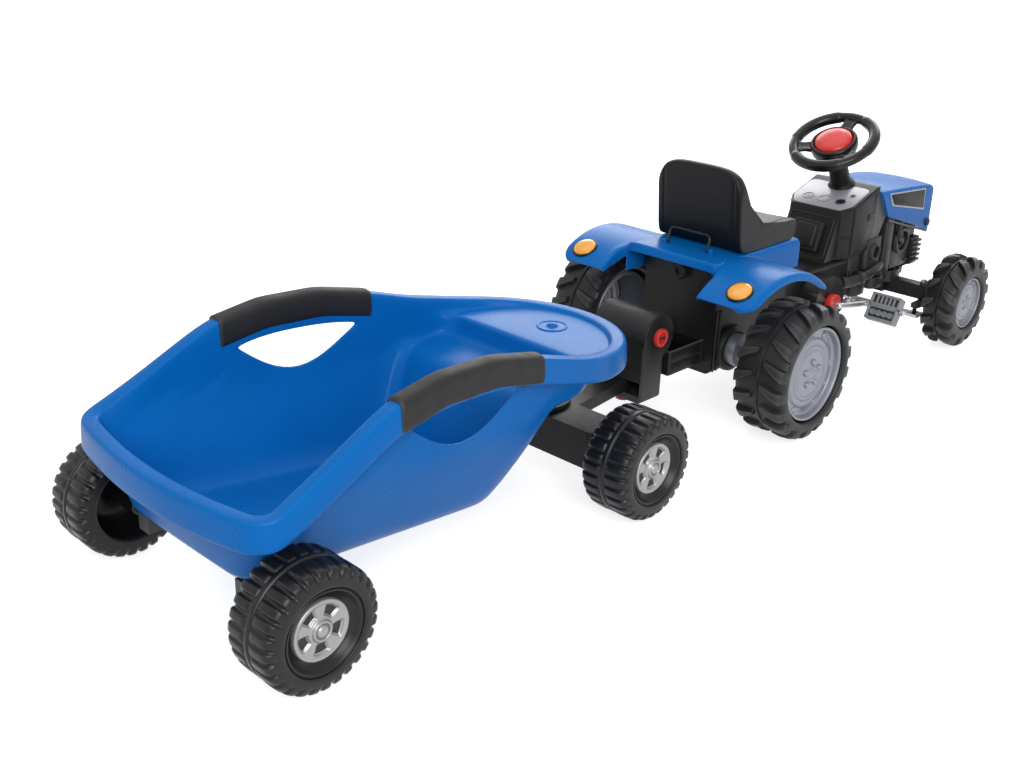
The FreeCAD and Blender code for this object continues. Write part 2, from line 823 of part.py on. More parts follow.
def build_steering():
    beam_top = spine_floor_z
    bar = box(
        wheelbase - beam_half_depth, wheelbase + beam_half_depth, -kingpin_y, kingpin_y, beam_floor_z, beam_top
    )
    pad = box(
        wheelbase - beam_pad_half_depth, wheelbase + beam_pad_half_depth, -spine_half_width, spine_half_width,
        beam_floor_z, beam_top,
    )
    eyes = both_sides(z_rod(wheelbase, kingpin_y, beam_floor_z, beam_top, beam_half_depth))
    beam = joined([bar, pad] + eyes)
    holes = both_sides(z_rod(wheelbase, kingpin_y, beam_floor_z, beam_top, kingpin_radius))
    save("front_axle_beam", beam.cut(holes))
    low_plate_z = beam_floor_z - turning_gap - knuckle_plate
    top_plate_z = beam_top + turning_gap
    top_end = top_plate_z + knuckle_plate
    pin = z_rod(wheelbase, kingpin_y, low_plate_z, top_end + turning_gap, kingpin_radius)
    head_z = top_end + turning_gap
    head = z_rod(wheelbase, kingpin_y, head_z, head_z + kingpin_head_height, kingpin_head_radius)
    save("kingpins", Part.makeCompound(both_sides(pin.fuse(head))))
    wall_in = kingpin_y + knuckle_wall_inner
    wall_out = wall_in + knuckle_wall
    pieces = []
    for level in (low_plate_z, top_plate_z):
        pieces.append(z_rod(wheelbase, kingpin_y, level, level + knuckle_plate, knuckle_eye_radius))
        pieces.append(box(
            wheelbase - knuckle_eye_radius, wheelbase + knuckle_eye_radius, kingpin_y, wall_out, level,
            level + knuckle_plate,
        ))
    pieces.append(box(
        wheelbase - knuckle_eye_radius, wheelbase + knuckle_eye_radius, wall_in, wall_out, low_plate_z, top_end
    ))
    stub_end = front_half_track + front_tyre_width / 2 - stub_end_setback
    pieces.append(y_rod(wheelbase, front_axle_z, wall_out - knuckle_wall / 2, stub_end, stub_radius))
    arm_x = wheelbase - steer_arm
    half_arm = steer_arm_width / 2
    pieces.append(box(
        arm_x, wheelbase, kingpin_y - half_arm, kingpin_y + half_arm, low_plate_z, low_plate_z + knuckle_plate
    ))
    pieces.append(z_rod(arm_x, kingpin_y, low_plate_z, low_plate_z + knuckle_plate, half_arm))
    pin_low = tie_rod_z - slide_gap
    pieces.append(z_rod(arm_x, kingpin_y, pin_low, low_plate_z + knuckle_plate, tie_pin_radius))
    pieces.append(z_rod(arm_x, kingpin_y, pin_low - tie_pin_head_height, pin_low, tie_pin_head_radius))
    knuckle = joined(pieces)
    knuckle = knuckle.cut(z_rod(wheelbase, kingpin_y, 0, head_z, kingpin_radius + running_gap))
    save("knuckle_left", knuckle)
    save("knuckle_right", mirrored(knuckle))
    rod_top = tie_rod_z + tie_rod_thickness
    pin_depth = pitman_tip.z - (tie_rod_z + tie_rod_thickness / 2)
    pin_x = pitman_tip.x + pin_depth * math.tan(tilt)
    bar = box(
        arm_x - tie_rod_half_depth, arm_x + tie_rod_half_depth, -kingpin_y, kingpin_y, tie_rod_z, rod_top
    )
    tab_reach = pitman_slot_half_depth + pitman_tab_margin
    tab = box(
        min(pin_x - tab_reach, arm_x), max(pin_x + tab_reach, arm_x), -pitman_tab_half_width,
        pitman_tab_half_width, tie_rod_z, rod_top,
    )
    eyes = both_sides(box(
        arm_x - tie_eye_half_depth, arm_x + tie_eye_half_depth, kingpin_y - tie_eye_half_width,
        kingpin_y + tie_eye_half_width, tie_rod_z, rod_top,
    ))
    slots = both_sides(box(
        arm_x - tie_slot_half_depth, arm_x + tie_slot_half_depth, kingpin_y - tie_slot_half_width,
        kingpin_y + tie_slot_half_width, tie_rod_z, rod_top,
    ))
    slots.append(box(
        pin_x - pitman_slot_half_depth, pin_x + pitman_slot_half_depth, -pitman_slot_half_width,
        pitman_slot_half_width, tie_rod_z, rod_top,
    ))
    save("tie_rod", joined([bar, tab] + eyes).cut(slots))
    hub_base = wheel_centre - column_up * wheel_hub_drop
    column = joined([
        rod(column_end, hub_base, column_radius),
        Part.makeSphere(column_radius, column_end),
        rod(column_end, pitman_tip, column_radius),
        Part.makeSphere(column_radius, pitman_tip),
        rod(pitman_tip, pitman_tip - column_up * pitman_pin_length, tie_pin_radius),
    ])
    save("steering_column", column)
    sleeve_top = hub_base - column_up * slide_gap
    sleeve = rod(column_foot, sleeve_top, sleeve_radius)
    save("column_sleeve", sleeve.cut(rod(column_foot, hub_base, column_radius + running_gap)))
    hub_top = hub_base + column_up * wheel_hub_height
    ring = Part.makeTorus(wheel_rim_radius, wheel_grip_radius, wheel_centre, column_up)
    pieces = [ring, rod(hub_base, hub_top, wheel_hub_radius)]
    for angle in spoke_angles:
        spoke = box(
            0, wheel_rim_radius, -spoke_width / 2, spoke_width / 2, -spoke_thickness / 2, spoke_thickness / 2
        )
        spoke.rotate(ZERO, Z_AXIS, angle)
        spoke.rotate(ZERO, Y_AXIS, -column_tilt)
        pieces.append(moved(spoke, wheel_centre.x, 0, wheel_centre.z))
    pocket_floor = hub_top - column_up * horn_pocket_depth
    pocket = rod(pocket_floor, hub_top + column_up * overrun, horn_radius + slide_gap)
    wheel = joined(pieces).cut(pocket)
    save("steering_wheel", wheel)
    horn_base = pocket_floor + column_up * (horn_travel + slide_gap)
    horn_top = hub_top + column_up * horn_rise
    tall = (horn_top - horn_base).Length
    edge = tall - horn_rise
    corners = [Vector(0, tall, 0), ZERO, Vector(horn_radius, 0, 0), Vector(horn_radius, edge, 0)]
    dome = (horn_radius ** 2 + horn_rise ** 2) / (2 * horn_rise)
    sweep = math.asin(horn_radius / dome) / 2
    shoulder = Vector(dome * math.sin(sweep), tall - dome + dome * math.cos(sweep), 0)
    outline = [Part.LineSegment(first, second).toShape() for first, second in zip(corners, corners[1:])]
    outline.append(Part.Arc(corners[3], shoulder, corners[0]).toShape())
    button = Part.Face(Part.Wire(outline)).revolve(ZERO, Y_AXIS, 360)
    button.rotate(ZERO, X_AXIS, 90)
    button.rotate(ZERO, Y_AXIS, -column_tilt)
    save("horn_button", moved(button, horn_base.x, 0, horn_base.z))


# Cowl, engine and hood

def build_front():
    rise = math.tan(tilt)
    top_z = hood_rear_top_z
    crest_x = cowl_lip_x + (top_z - cowl_lip_z) / rise
    dash_z = column_foot_z - (column_foot_x - cowl_lip_x) * rise
    facet_x = cowl_lip_x + cowl_chamfer * cowl_facet_share
    profile = [
        (cowl_rear_x, tunnel_top_z), (cowl_lip_x, dash_z), (crest_x + (cowl_lip_z - dash_z) / rise, top_z),
        (cowl_front_x, top_z), (cowl_front_x, tunnel_top_z),
    ]
    plan = [
        (cowl_rear_x - overrun, cowl_chamfer - cowl_half_width), (cowl_lip_x, cowl_chamfer - cowl_half_width),
        (facet_x, -cowl_half_width), (cowl_front_x, -cowl_half_width), (cowl_front_x, cowl_half_width),
        (facet_x, cowl_half_width), (cowl_lip_x, cowl_half_width - cowl_chamfer),
        (cowl_rear_x - overrun, cowl_half_width - cowl_chamfer),
    ]
    outer = side_prism(profile, -cowl_half_width, cowl_half_width).common(plan_prism(plan, 0, top_z))
    w = shell_wall
    inner_profile = [
        (cowl_rear_x + w * 2, tunnel_top_z - overrun), (cowl_lip_x + w, dash_z - w),
        (crest_x + (cowl_lip_z - dash_z) / rise, top_z - w * 2), (cowl_front_x + overrun, top_z - w * 2),
        (cowl_front_x + overrun, tunnel_top_z - overrun),
    ]
    inner_plan = [
        (cowl_rear_x, cowl_chamfer + w - cowl_half_width), (cowl_lip_x + w, cowl_chamfer + w - cowl_half_width),
        (facet_x + w, w - cowl_half_width), (cowl_front_x + overrun, w - cowl_half_width),
        (cowl_front_x + overrun, cowl_half_width - w), (facet_x + w, cowl_half_width - w),
        (cowl_lip_x + w, cowl_half_width - cowl_chamfer - w), (cowl_rear_x, cowl_half_width - cowl_chamfer - w),
    ]
    inner = side_prism(inner_profile, -cowl_half_width, cowl_half_width).common(plan_prism(inner_plan, 0, top_z))
    pad_lean = (cowl_lip_x - cowl_rear_x) / (dash_z - tunnel_top_z)
    pad_low_x = cowl_rear_x + (cowl_recess_floor_z - tunnel_top_z) * pad_lean
    pad_top_x = cowl_rear_x + (cowl_recess_top_z - tunnel_top_z) * pad_lean
    pad = side_prism(
        [(pad_low_x - cowl_recess_depth, cowl_recess_floor_z), (pad_low_x + w, cowl_recess_floor_z),
         (pad_top_x + w, cowl_recess_top_z), (pad_top_x - cowl_recess_depth / 2, cowl_recess_top_z)],
        -cowl_recess_half_width, cowl_recess_half_width,
    )
    cowl = outer.cut([inner, rod(column_end, wheel_centre, column_radius + running_gap)]).fuse(pad)
    save("cowl", cowl.removeSplitter())
    panel = box(
        dash_inset, dash_inset + dash_length, dash_inset / 2 - cowl_half_width + cowl_chamfer,
        cowl_half_width - dash_inset / 2 - cowl_chamfer, 0, dash_thickness,
    )
    gauges = []
    for share in gauge_shares:
        gauges.append(z_rod(
            dash_inset + gauge_radius * 2, cowl_half_width * share, dash_thickness, dash_thickness + gauge_height,
            gauge_radius,
        ))
    panel = panel.fuse(gauges)
    panel.rotate(ZERO, Y_AXIS, -column_tilt)
    panel = moved(panel, cowl_lip_x, 0, dash_z)
    save("dash_panel", panel.cut(rod(column_foot, wheel_centre, sleeve_radius)))
    low = soft_box(
        tunnel_front_x, spine_front_x, -engine_half_width, engine_half_width, spine_top_z, tunnel_top_z,
        engine_corner, [Z_AXIS],
    )
    high = soft_box(
        cowl_front_x, spine_front_x, -engine_half_width, engine_half_width, spine_top_z, engine_top_z,
        engine_corner, [Z_AXIS],
    )
    inside = [
        box(
            tunnel_front_x + w, spine_front_x - w, w - engine_half_width, engine_half_width - w,
            spine_top_z - overrun, tunnel_top_z - w,
        ),
        box(
            cowl_front_x - overrun, spine_front_x - w, w - engine_half_width, engine_half_width - w,
            tunnel_top_z - w * 2, engine_top_z - w,
        ),
    ]
    block = low.fuse(high).cut(inside)
    length = spine_front_x - cowl_front_x
    height = engine_top_z - spine_top_z
    extras = []
    skin = engine_half_width - w / 2
    for x0, x1, z0, z1 in relief_shares:
        extras.append(box(
            cowl_front_x + length * x0, cowl_front_x + length * x1, skin, engine_half_width + relief_depth,
            spine_top_z + height * z0, spine_top_z + height * z1,
        ))
    for x, z, size in pulley_shares:
        extras.append(y_rod(
            cowl_front_x + length * x, spine_top_z + height * z, skin, engine_half_width + relief_depth * 2,
            length * size,
        ))
    ends = []
    for x, z in pipe_shares:
        ends.append(Vector(cowl_front_x + length * x, engine_half_width + relief_depth, spine_top_z + height * z))
    extras.append(rod(ends[0], ends[1], pipe_radius))
    extras.append(Part.makeSphere(pipe_radius, ends[0]))
    extras.append(Part.makeSphere(pipe_radius, ends[1]))
    everything = [block] + extras + [mirrored(piece) for piece in extras]
    column_hole = rod(column_end, column_foot, column_radius + slide_gap)
    save("engine_block", joined(everything).cut(column_hole))
    build_hood()


def hood_section(x, top, low, half, corner):
    bend = corner * (1 - math.sqrt(0.5))
    corners = [
        Vector(x, -half, low), Vector(x, -half, top - corner), Vector(x, corner - half, top),
        Vector(x, half - corner, top), Vector(x, half, top - corner), Vector(x, half, low),
    ]
    return Part.Wire([
        Part.LineSegment(corners[0], corners[1]).toShape(),
        Part.Arc(corners[1], Vector(x, bend - half, top - bend), corners[2]).toShape(),
        Part.LineSegment(corners[2], corners[3]).toShape(),
        Part.Arc(corners[3], Vector(x, half - bend, top - bend), corners[4]).toShape(),
        Part.LineSegment(corners[4], corners[5]).toShape(),
        Part.LineSegment(corners[5], corners[0]).toShape(),
    ])


def hood_solid(inset, drop, back):
    run = hood_front_x - cowl_front_x
    half = hood_half_width - inset
    corner = hood_corner - inset
    places = [(0.0, hood_rear_top_z)]
    for along, level in hood_top_shares:
        places.append((along, hood_nose_z + (hood_peak_z - hood_nose_z) * level))
    places.append((1.0, hood_nose_z))
    wires = []
    for along, top in places:
        x = cowl_front_x + run * along
        low = hood_rear_low_z + (hood_front_low_z - hood_rear_low_z) * along
        if along == 0.0:
            x = x - back
        if along == 1.0:
            x = x - inset
        wires.append(hood_section(x, top - inset, low - drop, half, corner))
    return Part.makeLoft(wires, True, False)


def build_hood():
    w = shell_wall
    outer = hood_solid(0, 0, 0)
    inner = hood_solid(w, overrun * 3, overrun)
    rib_inside = hood_solid(w / 2, overrun, 0)
    front = spine_front_x - engine_corner * 2
    ribs = both_sides(box(
        cowl_front_x + engine_corner, front, hood_rib_y - w, hood_rib_y, engine_top_z, hood_peak_z
    ))
    ribs = [rib.common(rib_inside) for rib in ribs]
    hood = outer.cut(inner).fuse(ribs)
    save("hood", hood)
    run = hood_front_x - cowl_front_x
    panel_rear_share, panel_front_share = hood_panel_shares
    corners = [
        (cowl_front_x + run * panel_rear_share, hood_rear_low_z + hood_corner / 2),
        (cowl_front_x + run * panel_front_share, hood_front_low_z + hood_corner),
        (cowl_front_x + run * panel_front_share, hood_nose_z - hood_corner),
        (cowl_front_x + run * panel_rear_share, hood_rear_top_z - hood_corner * 2),
    ]
    panel = side_prism(corners, hood_half_width, hood_half_width + hood_panel_depth)
    save("hood_panels", Part.makeCompound(both_sides(panel)))
    plate = soft_box(
        hood_front_x, hood_front_x + grille_thickness, -grille_half_width, grille_half_width, grille_floor_z,
        grille_top_z, hood_corner / 2, [X_AXIS],
    )
    lamp_z = grille_top_z - headlamp_radius - grille_slot
    slots = []
    level = grille_floor_z + grille_slot
    while level + grille_slot < lamp_z - headlamp_radius - grille_slot:
        slots.append(box(
            hood_front_x + grille_thickness / 2, hood_front_x + grille_thickness, grille_slot * 2 - grille_half_width,
            grille_half_width - grille_slot * 2, level, level + grille_slot,
        ))
        level += grille_slot * 2
    save("grille", plate.cut(slots))
    lamp_x = hood_front_x + grille_thickness
    lamp = rod(
        Vector(lamp_x, headlamp_y, lamp_z), Vector(lamp_x + headlamp_depth, headlamp_y, lamp_z), headlamp_radius
    )
    save("headlamps", Part.makeCompound(both_sides(lamp)))


# Fender saddle, lamps, seat and bail

def build_saddle():
    w = shell_wall
    outer = soft_box(
        saddle_rear_x, saddle_front_x, -saddle_half_width, saddle_half_width, saddle_skirt_z, deck_z,
        saddle_corner, [X_AXIS],
    )
    bottom = box(
        saddle_rear_x, saddle_front_x, -saddle_half_width, saddle_half_width, saddle_skirt_z,
        saddle_skirt_z + saddle_corner,
    )
    outer = outer.fuse(bottom)
    inner = soft_box(
        saddle_rear_x + w, saddle_front_x + overrun, w - saddle_half_width, saddle_half_width - w,
        saddle_skirt_z - overrun * 2, deck_z - w, saddle_corner - w, [X_AXIS],
    )
    rear_cut = box(
        saddle_rear_x - overrun, saddle_rear_x + w, w - saddle_half_width, saddle_half_width - w,
        saddle_skirt_z - overrun, deck_z - saddle_lip,
    )
    low = 90.0 - fender_half_angle
    high = 90.0 + fender_half_angle
    cx, cz = fender_centre_x, fender_centre_z
    sheet = sector(cx, cz, fender_radius - w, fender_radius, saddle_half_width - w, fender_outer_y, low, high)
    skirt = sector(cx, cz, fender_radius - fender_lip, fender_radius, fender_outer_y - w, fender_outer_y, low, high)
    inner_skirt = sector(
        cx, cz, fender_radius - fender_inner_skirt, fender_radius, fender_inner_y, fender_inner_y + w,
        fender_tail_angle, high,
    )
    notch = box(
        cx - fender_radius, saddle_rear_x, 0, fender_inner_y, 0, cz + fender_radius + overrun
    )
    fender = joined([sheet.cut(notch), skirt, inner_skirt])
    inside = box(
        saddle_rear_x - overrun, saddle_front_x, 0, saddle_half_width - w, saddle_skirt_z, cz + fender_radius + overrun
    )
    fender = fender.cut(inside)
    clip_z = deck_z + bail_clip
    clip = box(
        bail_x - bail_clip / 2, bail_x + bail_clip / 2, bail_half_width + slide_gap + bail_wire_radius,
        bail_half_width + bail_wire_radius + bail_clip, deck_z - w / 2, clip_z,
    )
    pieces = [outer.cut([inner, rear_cut]), fender, mirrored(fender)] + both_sides(clip)
    pivot_z = deck_z + bail_clip / 2
    hole_end = bail_half_width + bail_wire_radius + bail_clip + overrun
    pin_hole = y_rod(bail_x, pivot_z, -hole_end, hole_end, bail_wire_radius + running_gap)
    saddle = joined(pieces).cut(pin_hole)
    save("fender_saddle", saddle)
    angle = math.radians(lamp_angle)
    way = Vector(math.cos(angle), 0, math.sin(angle))
    centre = Vector(cx, lamp_y, cz)
    lamp = rod(
        centre + way * (fender_radius - w / 2), centre + way * (fender_radius + lamp_height), lamp_radius
    ).cut(saddle)
    inner_cut = y_rod(cx, cz, 0, fender_outer_y, fender_radius)
    lamp = lamp.cut(inner_cut)
    save("tail_lamps", Part.makeCompound(both_sides(lamp)))
    bend = bail_bend
    top_z = pivot_z + bail_height
    pin_end = bail_half_width + bail_wire_radius + bail_clip
    half = bail_half_width
    arc_mid = bend * (1 - math.sqrt(0.5))
    path = Part.Wire([
        Part.LineSegment(Vector(bail_x, -half, pivot_z), Vector(bail_x, -half, top_z - bend)).toShape(),
        Part.Arc(
            Vector(bail_x, -half, top_z - bend), Vector(bail_x, arc_mid - half, top_z - arc_mid),
            Vector(bail_x, bend - half, top_z),
        ).toShape(),
        Part.LineSegment(Vector(bail_x, bend - half, top_z), Vector(bail_x, half - bend, top_z)).toShape(),
        Part.Arc(
            Vector(bail_x, half - bend, top_z), Vector(bail_x, half - arc_mid, top_z - arc_mid),
            Vector(bail_x, half, top_z - bend),
        ).toShape(),
        Part.LineSegment(Vector(bail_x, half, top_z - bend), Vector(bail_x, half, pivot_z)).toShape(),
    ])
    circle = Part.Wire(Part.makeCircle(bail_wire_radius, Vector(bail_x, -half, pivot_z), Z_AXIS))
    wire = path.makePipeShell([circle], True, False)
    pieces = [wire]
    for sign in (1, -1):
        corner = Vector(bail_x, half * sign, pivot_z)
        pieces.append(Part.makeSphere(bail_wire_radius, corner))
        pieces.append(rod(corner, Vector(bail_x, pin_end * sign, pivot_z), bail_wire_radius))
    bail = joined(pieces)
    bail.rotate(Vector(bail_x, 0, pivot_z), Y_AXIS, bail_lean)
    save("seat_bail", bail)


def seat_profile(inset, drop):
    base = deck_z + slide_gap
    depth = seat_back_depth
    knee_x = seat_back_x + depth
    lip_z = base + (seat_pan_z - base) * seat_front_share
    return [
        (seat_back_x + inset, base - drop),
        (seat_back_top_x + inset, seat_back_top_z - inset),
        (seat_back_top_x + depth * 0.7 - inset, seat_back_top_z - inset),
        (knee_x - inset, seat_pan_z + depth / 2 - inset),
        (knee_x + depth / 2, seat_pan_z - inset),
        (seat_front_x - depth / 3, seat_pan_z - inset),
        (seat_front_x - inset, lip_z - inset),
        (seat_front_x - depth / 5 - inset, base - drop),
    ]


def build_seat():
    base = deck_z + slide_gap

    def front_view(inset, drop):
        half = seat_half_width - inset
        corners = [(-half, base - drop), (half, base - drop), (half, seat_back_top_z - inset),
                   (-half, seat_back_top_z - inset)]
        edge = body_corner / 3
        radii = [edge, edge, seat_corner - inset, seat_corner - inset]
        face = Part.Face(rounded_wire(corners, radii, 0))
        solid = face.extrude(Vector(0, 0, (seat_front_x - seat_back_top_x) + overrun * 2))
        solid.rotate(ZERO, X_AXIS, 90)
        solid.rotate(ZERO, Z_AXIS, 90)
        return moved(solid, seat_back_top_x - overrun, 0, 0)

    outer = side_prism(seat_profile(0, 0), -seat_half_width, seat_half_width).common(front_view(0, 0))
    inner = side_prism(seat_profile(seat_wall, overrun), -seat_half_width, seat_half_width)
    inner = inner.common(front_view(seat_wall, overrun))
    save("seat", outer.cut(inner))


# Hitch

def build_hitch():
    w = hitch_wall
    tray = box(
        hitch_bracket_rear_x, housing_rear_x, -hitch_bracket_half_width, hitch_bracket_half_width,
        hitch_bracket_floor_z, hitch_bracket_top_z,
    )
    inside = box(
        hitch_bracket_rear_x + w, housing_rear_x - w, w - hitch_bracket_half_width, hitch_bracket_half_width - w,
        hitch_bracket_floor_z + w, hitch_bracket_top_z + overrun,
    )
    tray = tray.cut(inside)
    floor = hitch_bracket_floor_z
    eye = y_rod(drum_x, drum_z, -tongue_half_width, tongue_half_width, tongue_eye_radius)
    lean = tongue_eye_radius * math.sqrt(0.5)
    web = side_prism(
        [(hitch_bracket_rear_x + w * 3, floor + w / 2), (hitch_bracket_rear_x / 2 + housing_rear_x / 2, floor + w / 2),
         (drum_x + lean, drum_z + lean), (drum_x - lean, drum_z - lean)],
        -tongue_half_width, tongue_half_width,
    )
    bracket = joined([tray, eye, web])
    bore = y_rod(drum_x, drum_z, -tongue_half_width, tongue_half_width, drum_pin_radius + running_gap)
    save("hitch_bracket", bracket.cut(bore))
    drum = y_rod(drum_x, drum_z, -drum_half_width, drum_half_width, drum_radius)
    fork_top = drawbar_floor_z + drawbar_thickness + turning_gap + fork_plate
    head = box(head_rear_x, head_front_x, -head_half_width, head_half_width, fork_floor_z, drum_z)
    gap_low = fork_floor_z + fork_plate
    gap_high = fork_top - fork_plate
    mouth = box(
        head_rear_x - overrun, head_front_x - head_spine, -drum_half_width, drum_half_width, gap_low, gap_high
    )
    slot_half = tongue_half_width + tongue_slot_gap
    slot_reach = tongue_eye_radius + tongue_slot_gap
    slot = box(
        drum_x - slot_reach, drum_x + drum_radius + overrun, -slot_half, slot_half, fork_top, drum_z + slot_reach
    )
    pin_hole = y_rod(drum_x, drum_z, -drum_half_width, drum_half_width, drum_pin_radius)
    bar_hole = z_rod(drawbar_pin_x, 0, fork_floor_z, fork_top, drawbar_pin_radius)
    save("tow_head", drum.fuse(head).removeSplitter().cut([mouth, slot, pin_hole, bar_hole]))
    pin_end = drum_half_width + hitch_cap_pocket
    low_end = fork_floor_z - drawbar_cap_pocket
    pins = [
        y_rod(drum_x, drum_z, -pin_end, pin_end, drum_pin_radius),
        z_rod(drawbar_pin_x, 0, low_end, fork_top, drawbar_pin_radius),
    ]
    save("hitch_pins", Part.makeCompound(pins))
    cap_end = drum_half_width + hitch_cap_height
    cap = y_rod(drum_x, drum_z, drum_half_width, cap_end, hitch_cap_radius)
    cap = cap.cut(y_rod(drum_x, drum_z, drum_half_width, pin_end, drum_pin_radius))
    foot = z_rod(drawbar_pin_x, 0, fork_floor_z - drawbar_cap_height, fork_floor_z, drawbar_cap_radius)
    foot = foot.cut(z_rod(drawbar_pin_x, 0, low_end, fork_floor_z, drawbar_pin_radius))
    save("hitch_caps", Part.makeCompound(both_sides(cap) + [foot]))


# Bogie and trailer running gear

def build_bogie():
    w = bogie_wall
    front_x = bogie_x + bogie_half_depth
    rear_x = bogie_x - bogie_half_depth
    beam = soft_box(
        rear_x, front_x, -bogie_half_width, bogie_half_width, bogie_floor_z, bogie_top_z, bogie_corner, [Z_AXIS]
    )
    inside = box(
        rear_x + w, front_x - w, w - bogie_half_width, bogie_half_width - w, bogie_floor_z - overrun,
        bogie_top_z - w,
    )
    bar_top = drawbar_floor_z + drawbar_thickness
    bar = plan_prism(
        [(front_x - w, -drawbar_root_half_width), (drawbar_pin_x, -drawbar_eye_radius),
         (drawbar_pin_x, drawbar_eye_radius), (front_x - w, drawbar_root_half_width)],
        drawbar_floor_z, bar_top,
    )
    eye = z_rod(drawbar_pin_x, 0, drawbar_floor_z, bar_top, drawbar_eye_radius)
    table = z_rod(bogie_x, 0, bogie_top_z - w / 2, bogie_top_z + turntable_height, turntable_radius)
    frame = joined([beam.cut(inside), bar, eye, table])
    cuts = [
        z_rod(drawbar_pin_x, 0, drawbar_floor_z, bar_top, drawbar_pin_radius + running_gap),
        y_rod(bogie_x, trailer_axle_z, -bogie_half_width, bogie_half_width, trailer_axle_radius),
        z_rod(bogie_x, 0, bogie_floor_z, bogie_top_z + turntable_height, king_bolt_radius),
    ]
    save("bogie_frame", frame.cut(cuts))
    axle_end = trailer_half_track + trailer_web_y + hubcap_dome_height - hubcap_thickness
    save("bogie_axle", y_rod(bogie_x, trailer_axle_z, -axle_end, axle_end, trailer_axle_radius))
    save("trailer_axle", y_rod(trailer_axle_x, trailer_axle_z, -axle_end, axle_end, trailer_axle_radius))
    plate_low = bogie_top_z + turntable_height + turning_gap
    head_low = plate_low + boss_floor + turning_gap
    under = bogie_top_z - w
    bolt = z_rod(bogie_x, 0, under - king_head_height, head_low + king_head_height, king_bolt_radius)
    low_head = z_rod(bogie_x, 0, under - king_head_height, under, king_head_radius)
    nut = z_rod(bogie_x, 0, head_low, head_low + king_head_height, king_head_radius)
    save("king_bolt", joined([bolt, low_head, nut]))


def build_trailer_wheels():
    half = trailer_wheel_width / 2
    radius = trailer_wheel_radius / (1 + tyre_crown_share)
    ring = tyre_body(radius, half, trailer_bead_radius, trailer_tread_wall)
    bead = half * tyre_bead_share
    hub_inner = trailer_hub_inner_y - trailer_half_track
    bore = trailer_axle_radius + running_gap
    web_y = trailer_web_y
    web_back = web_y - trailer_web
    lip = trailer_bead_radius + trailer_web / 2
    web = spun([
        (lip, bead), (lip - trailer_web, bead), (hubcap_radius, web_y), (bore, web_y), (bore, hub_inner),
        (trailer_hub_radius, hub_inner), (trailer_hub_radius, web_back), (hubcap_radius + trailer_web / 2, web_back),
        (lip, bead - trailer_web),
    ])
    groove = box(
        -trailer_groove / 2, trailer_groove / 2, half / 8, half + overrun,
        trailer_wheel_radius - trailer_groove_depth, trailer_wheel_radius + overrun,
    )
    step = 180.0 / trailer_block_count
    tools = around_y(groove, trailer_block_count, step)
    tools += around_y(mirrored(groove), trailer_block_count, step * 2)
    deep = radius - trailer_groove_depth
    channel = trailer_ring_groove / 2
    outer = trailer_wheel_radius + overrun
    tools.append(spun([(deep, -channel), (outer, -channel), (outer, channel), (deep, channel)]))
    ring_in = trailer_bead_radius + trailer_groove * 2
    tools.append(spun([
        (ring_in, half - trailer_ring_groove), (ring_in + trailer_ring_groove, half - trailer_ring_groove),
        (ring_in + trailer_ring_groove, half + overrun), (ring_in, half + overrun),
    ]))
    wheel = ring.fuse(web).cut(tools)
    front_y = web_y + hubcap_thickness
    disc = Part.makeCylinder(hubcap_radius, hubcap_thickness, Vector(0, web_y, 0), Y_AXIS)
    inner_rim = hubcap_radius - hubcap_rim
    top = front_y + hubcap_rim_height
    rim = spun([(inner_rim, web_y), (hubcap_radius, web_y), (hubcap_radius, top), (inner_rim, top)])
    dome_top = web_y + hubcap_dome_height
    dome = Part.makeCylinder(hubcap_dome_radius, hubcap_dome_height, Vector(0, web_y, 0), Y_AXIS)
    dome = dome.makeFillet(hubcap_thickness, [
        edge for edge in dome.Edges
        if edge.Curve.TypeId == "Part::GeomCircle" and edge.CenterOfMass.y > dome_top - hubcap_thickness
    ])
    low, high, spread = hubcap_window_shares
    sweep = 360.0 / hubcap_windows * spread
    window = sector(0, 0, hubcap_radius * low, hubcap_radius * high, web_y, front_y, 0, sweep)
    pocket_end = dome_top - hubcap_thickness + slide_gap
    pocket = Part.makeCylinder(bore, pocket_end - web_y, Vector(0, web_y, 0), Y_AXIS)
    cap = disc.fuse([rim, dome]).cut(around_y(window, hubcap_windows) + [pocket])
    for name, x in (("front", bogie_x), ("rear", trailer_axle_x)):
        for side in ("left", "right"):
            tread = moved(wheel, x, trailer_half_track, trailer_axle_z)
            cover = moved(cap, x, trailer_half_track, trailer_axle_z)
            if side == "right":
                tread = mirrored(tread)
                cover = mirrored(cover)
            save("trailer_wheel_" + name + "_" + side, tread)
            save("hubcap_" + name + "_" + side, cover)


# Tub

def rim_points(drop):
    length = tub_nose_x - tub_rear_x
    points = []
    for along, level in rim_rear_shares:
        z = tub_rim_rear_z + (tub_rim_handle_z - tub_rim_rear_z) * level
        points.append(Vector(tub_rear_x + length * along, 0, z - drop))
    for along, level in rim_front_shares:
        z = tub_rim_nose_z + (tub_rim_handle_z - tub_rim_nose_z) * level
        points.append(Vector(tub_rear_x + length * along, 0, z - drop))
    return points


def under_rim(drop, floor_z):
    points = rim_points(drop)
    curve = Part.BSplineCurve()
    curve.interpolate(points)
    rear = points[0] - Vector(overrun * 3, 0, 0)
    front = points[-1] + Vector(overrun * 3, 0, 0)
    half = tub_upper_half_width
    corners = [points[-1], front, Vector(front.x, 0, floor_z), Vector(rear.x, 0, floor_z), rear, points[0]]
    edges = [curve.toShape()]
    for first, second in zip(corners, corners[1:]):
        edges.append(Part.LineSegment(first, second).toShape())
    solid = Part.Face(Part.Wire(edges)).extrude(Vector(0, half * 2, 0))
    return moved(solid, 0, -half, 0)


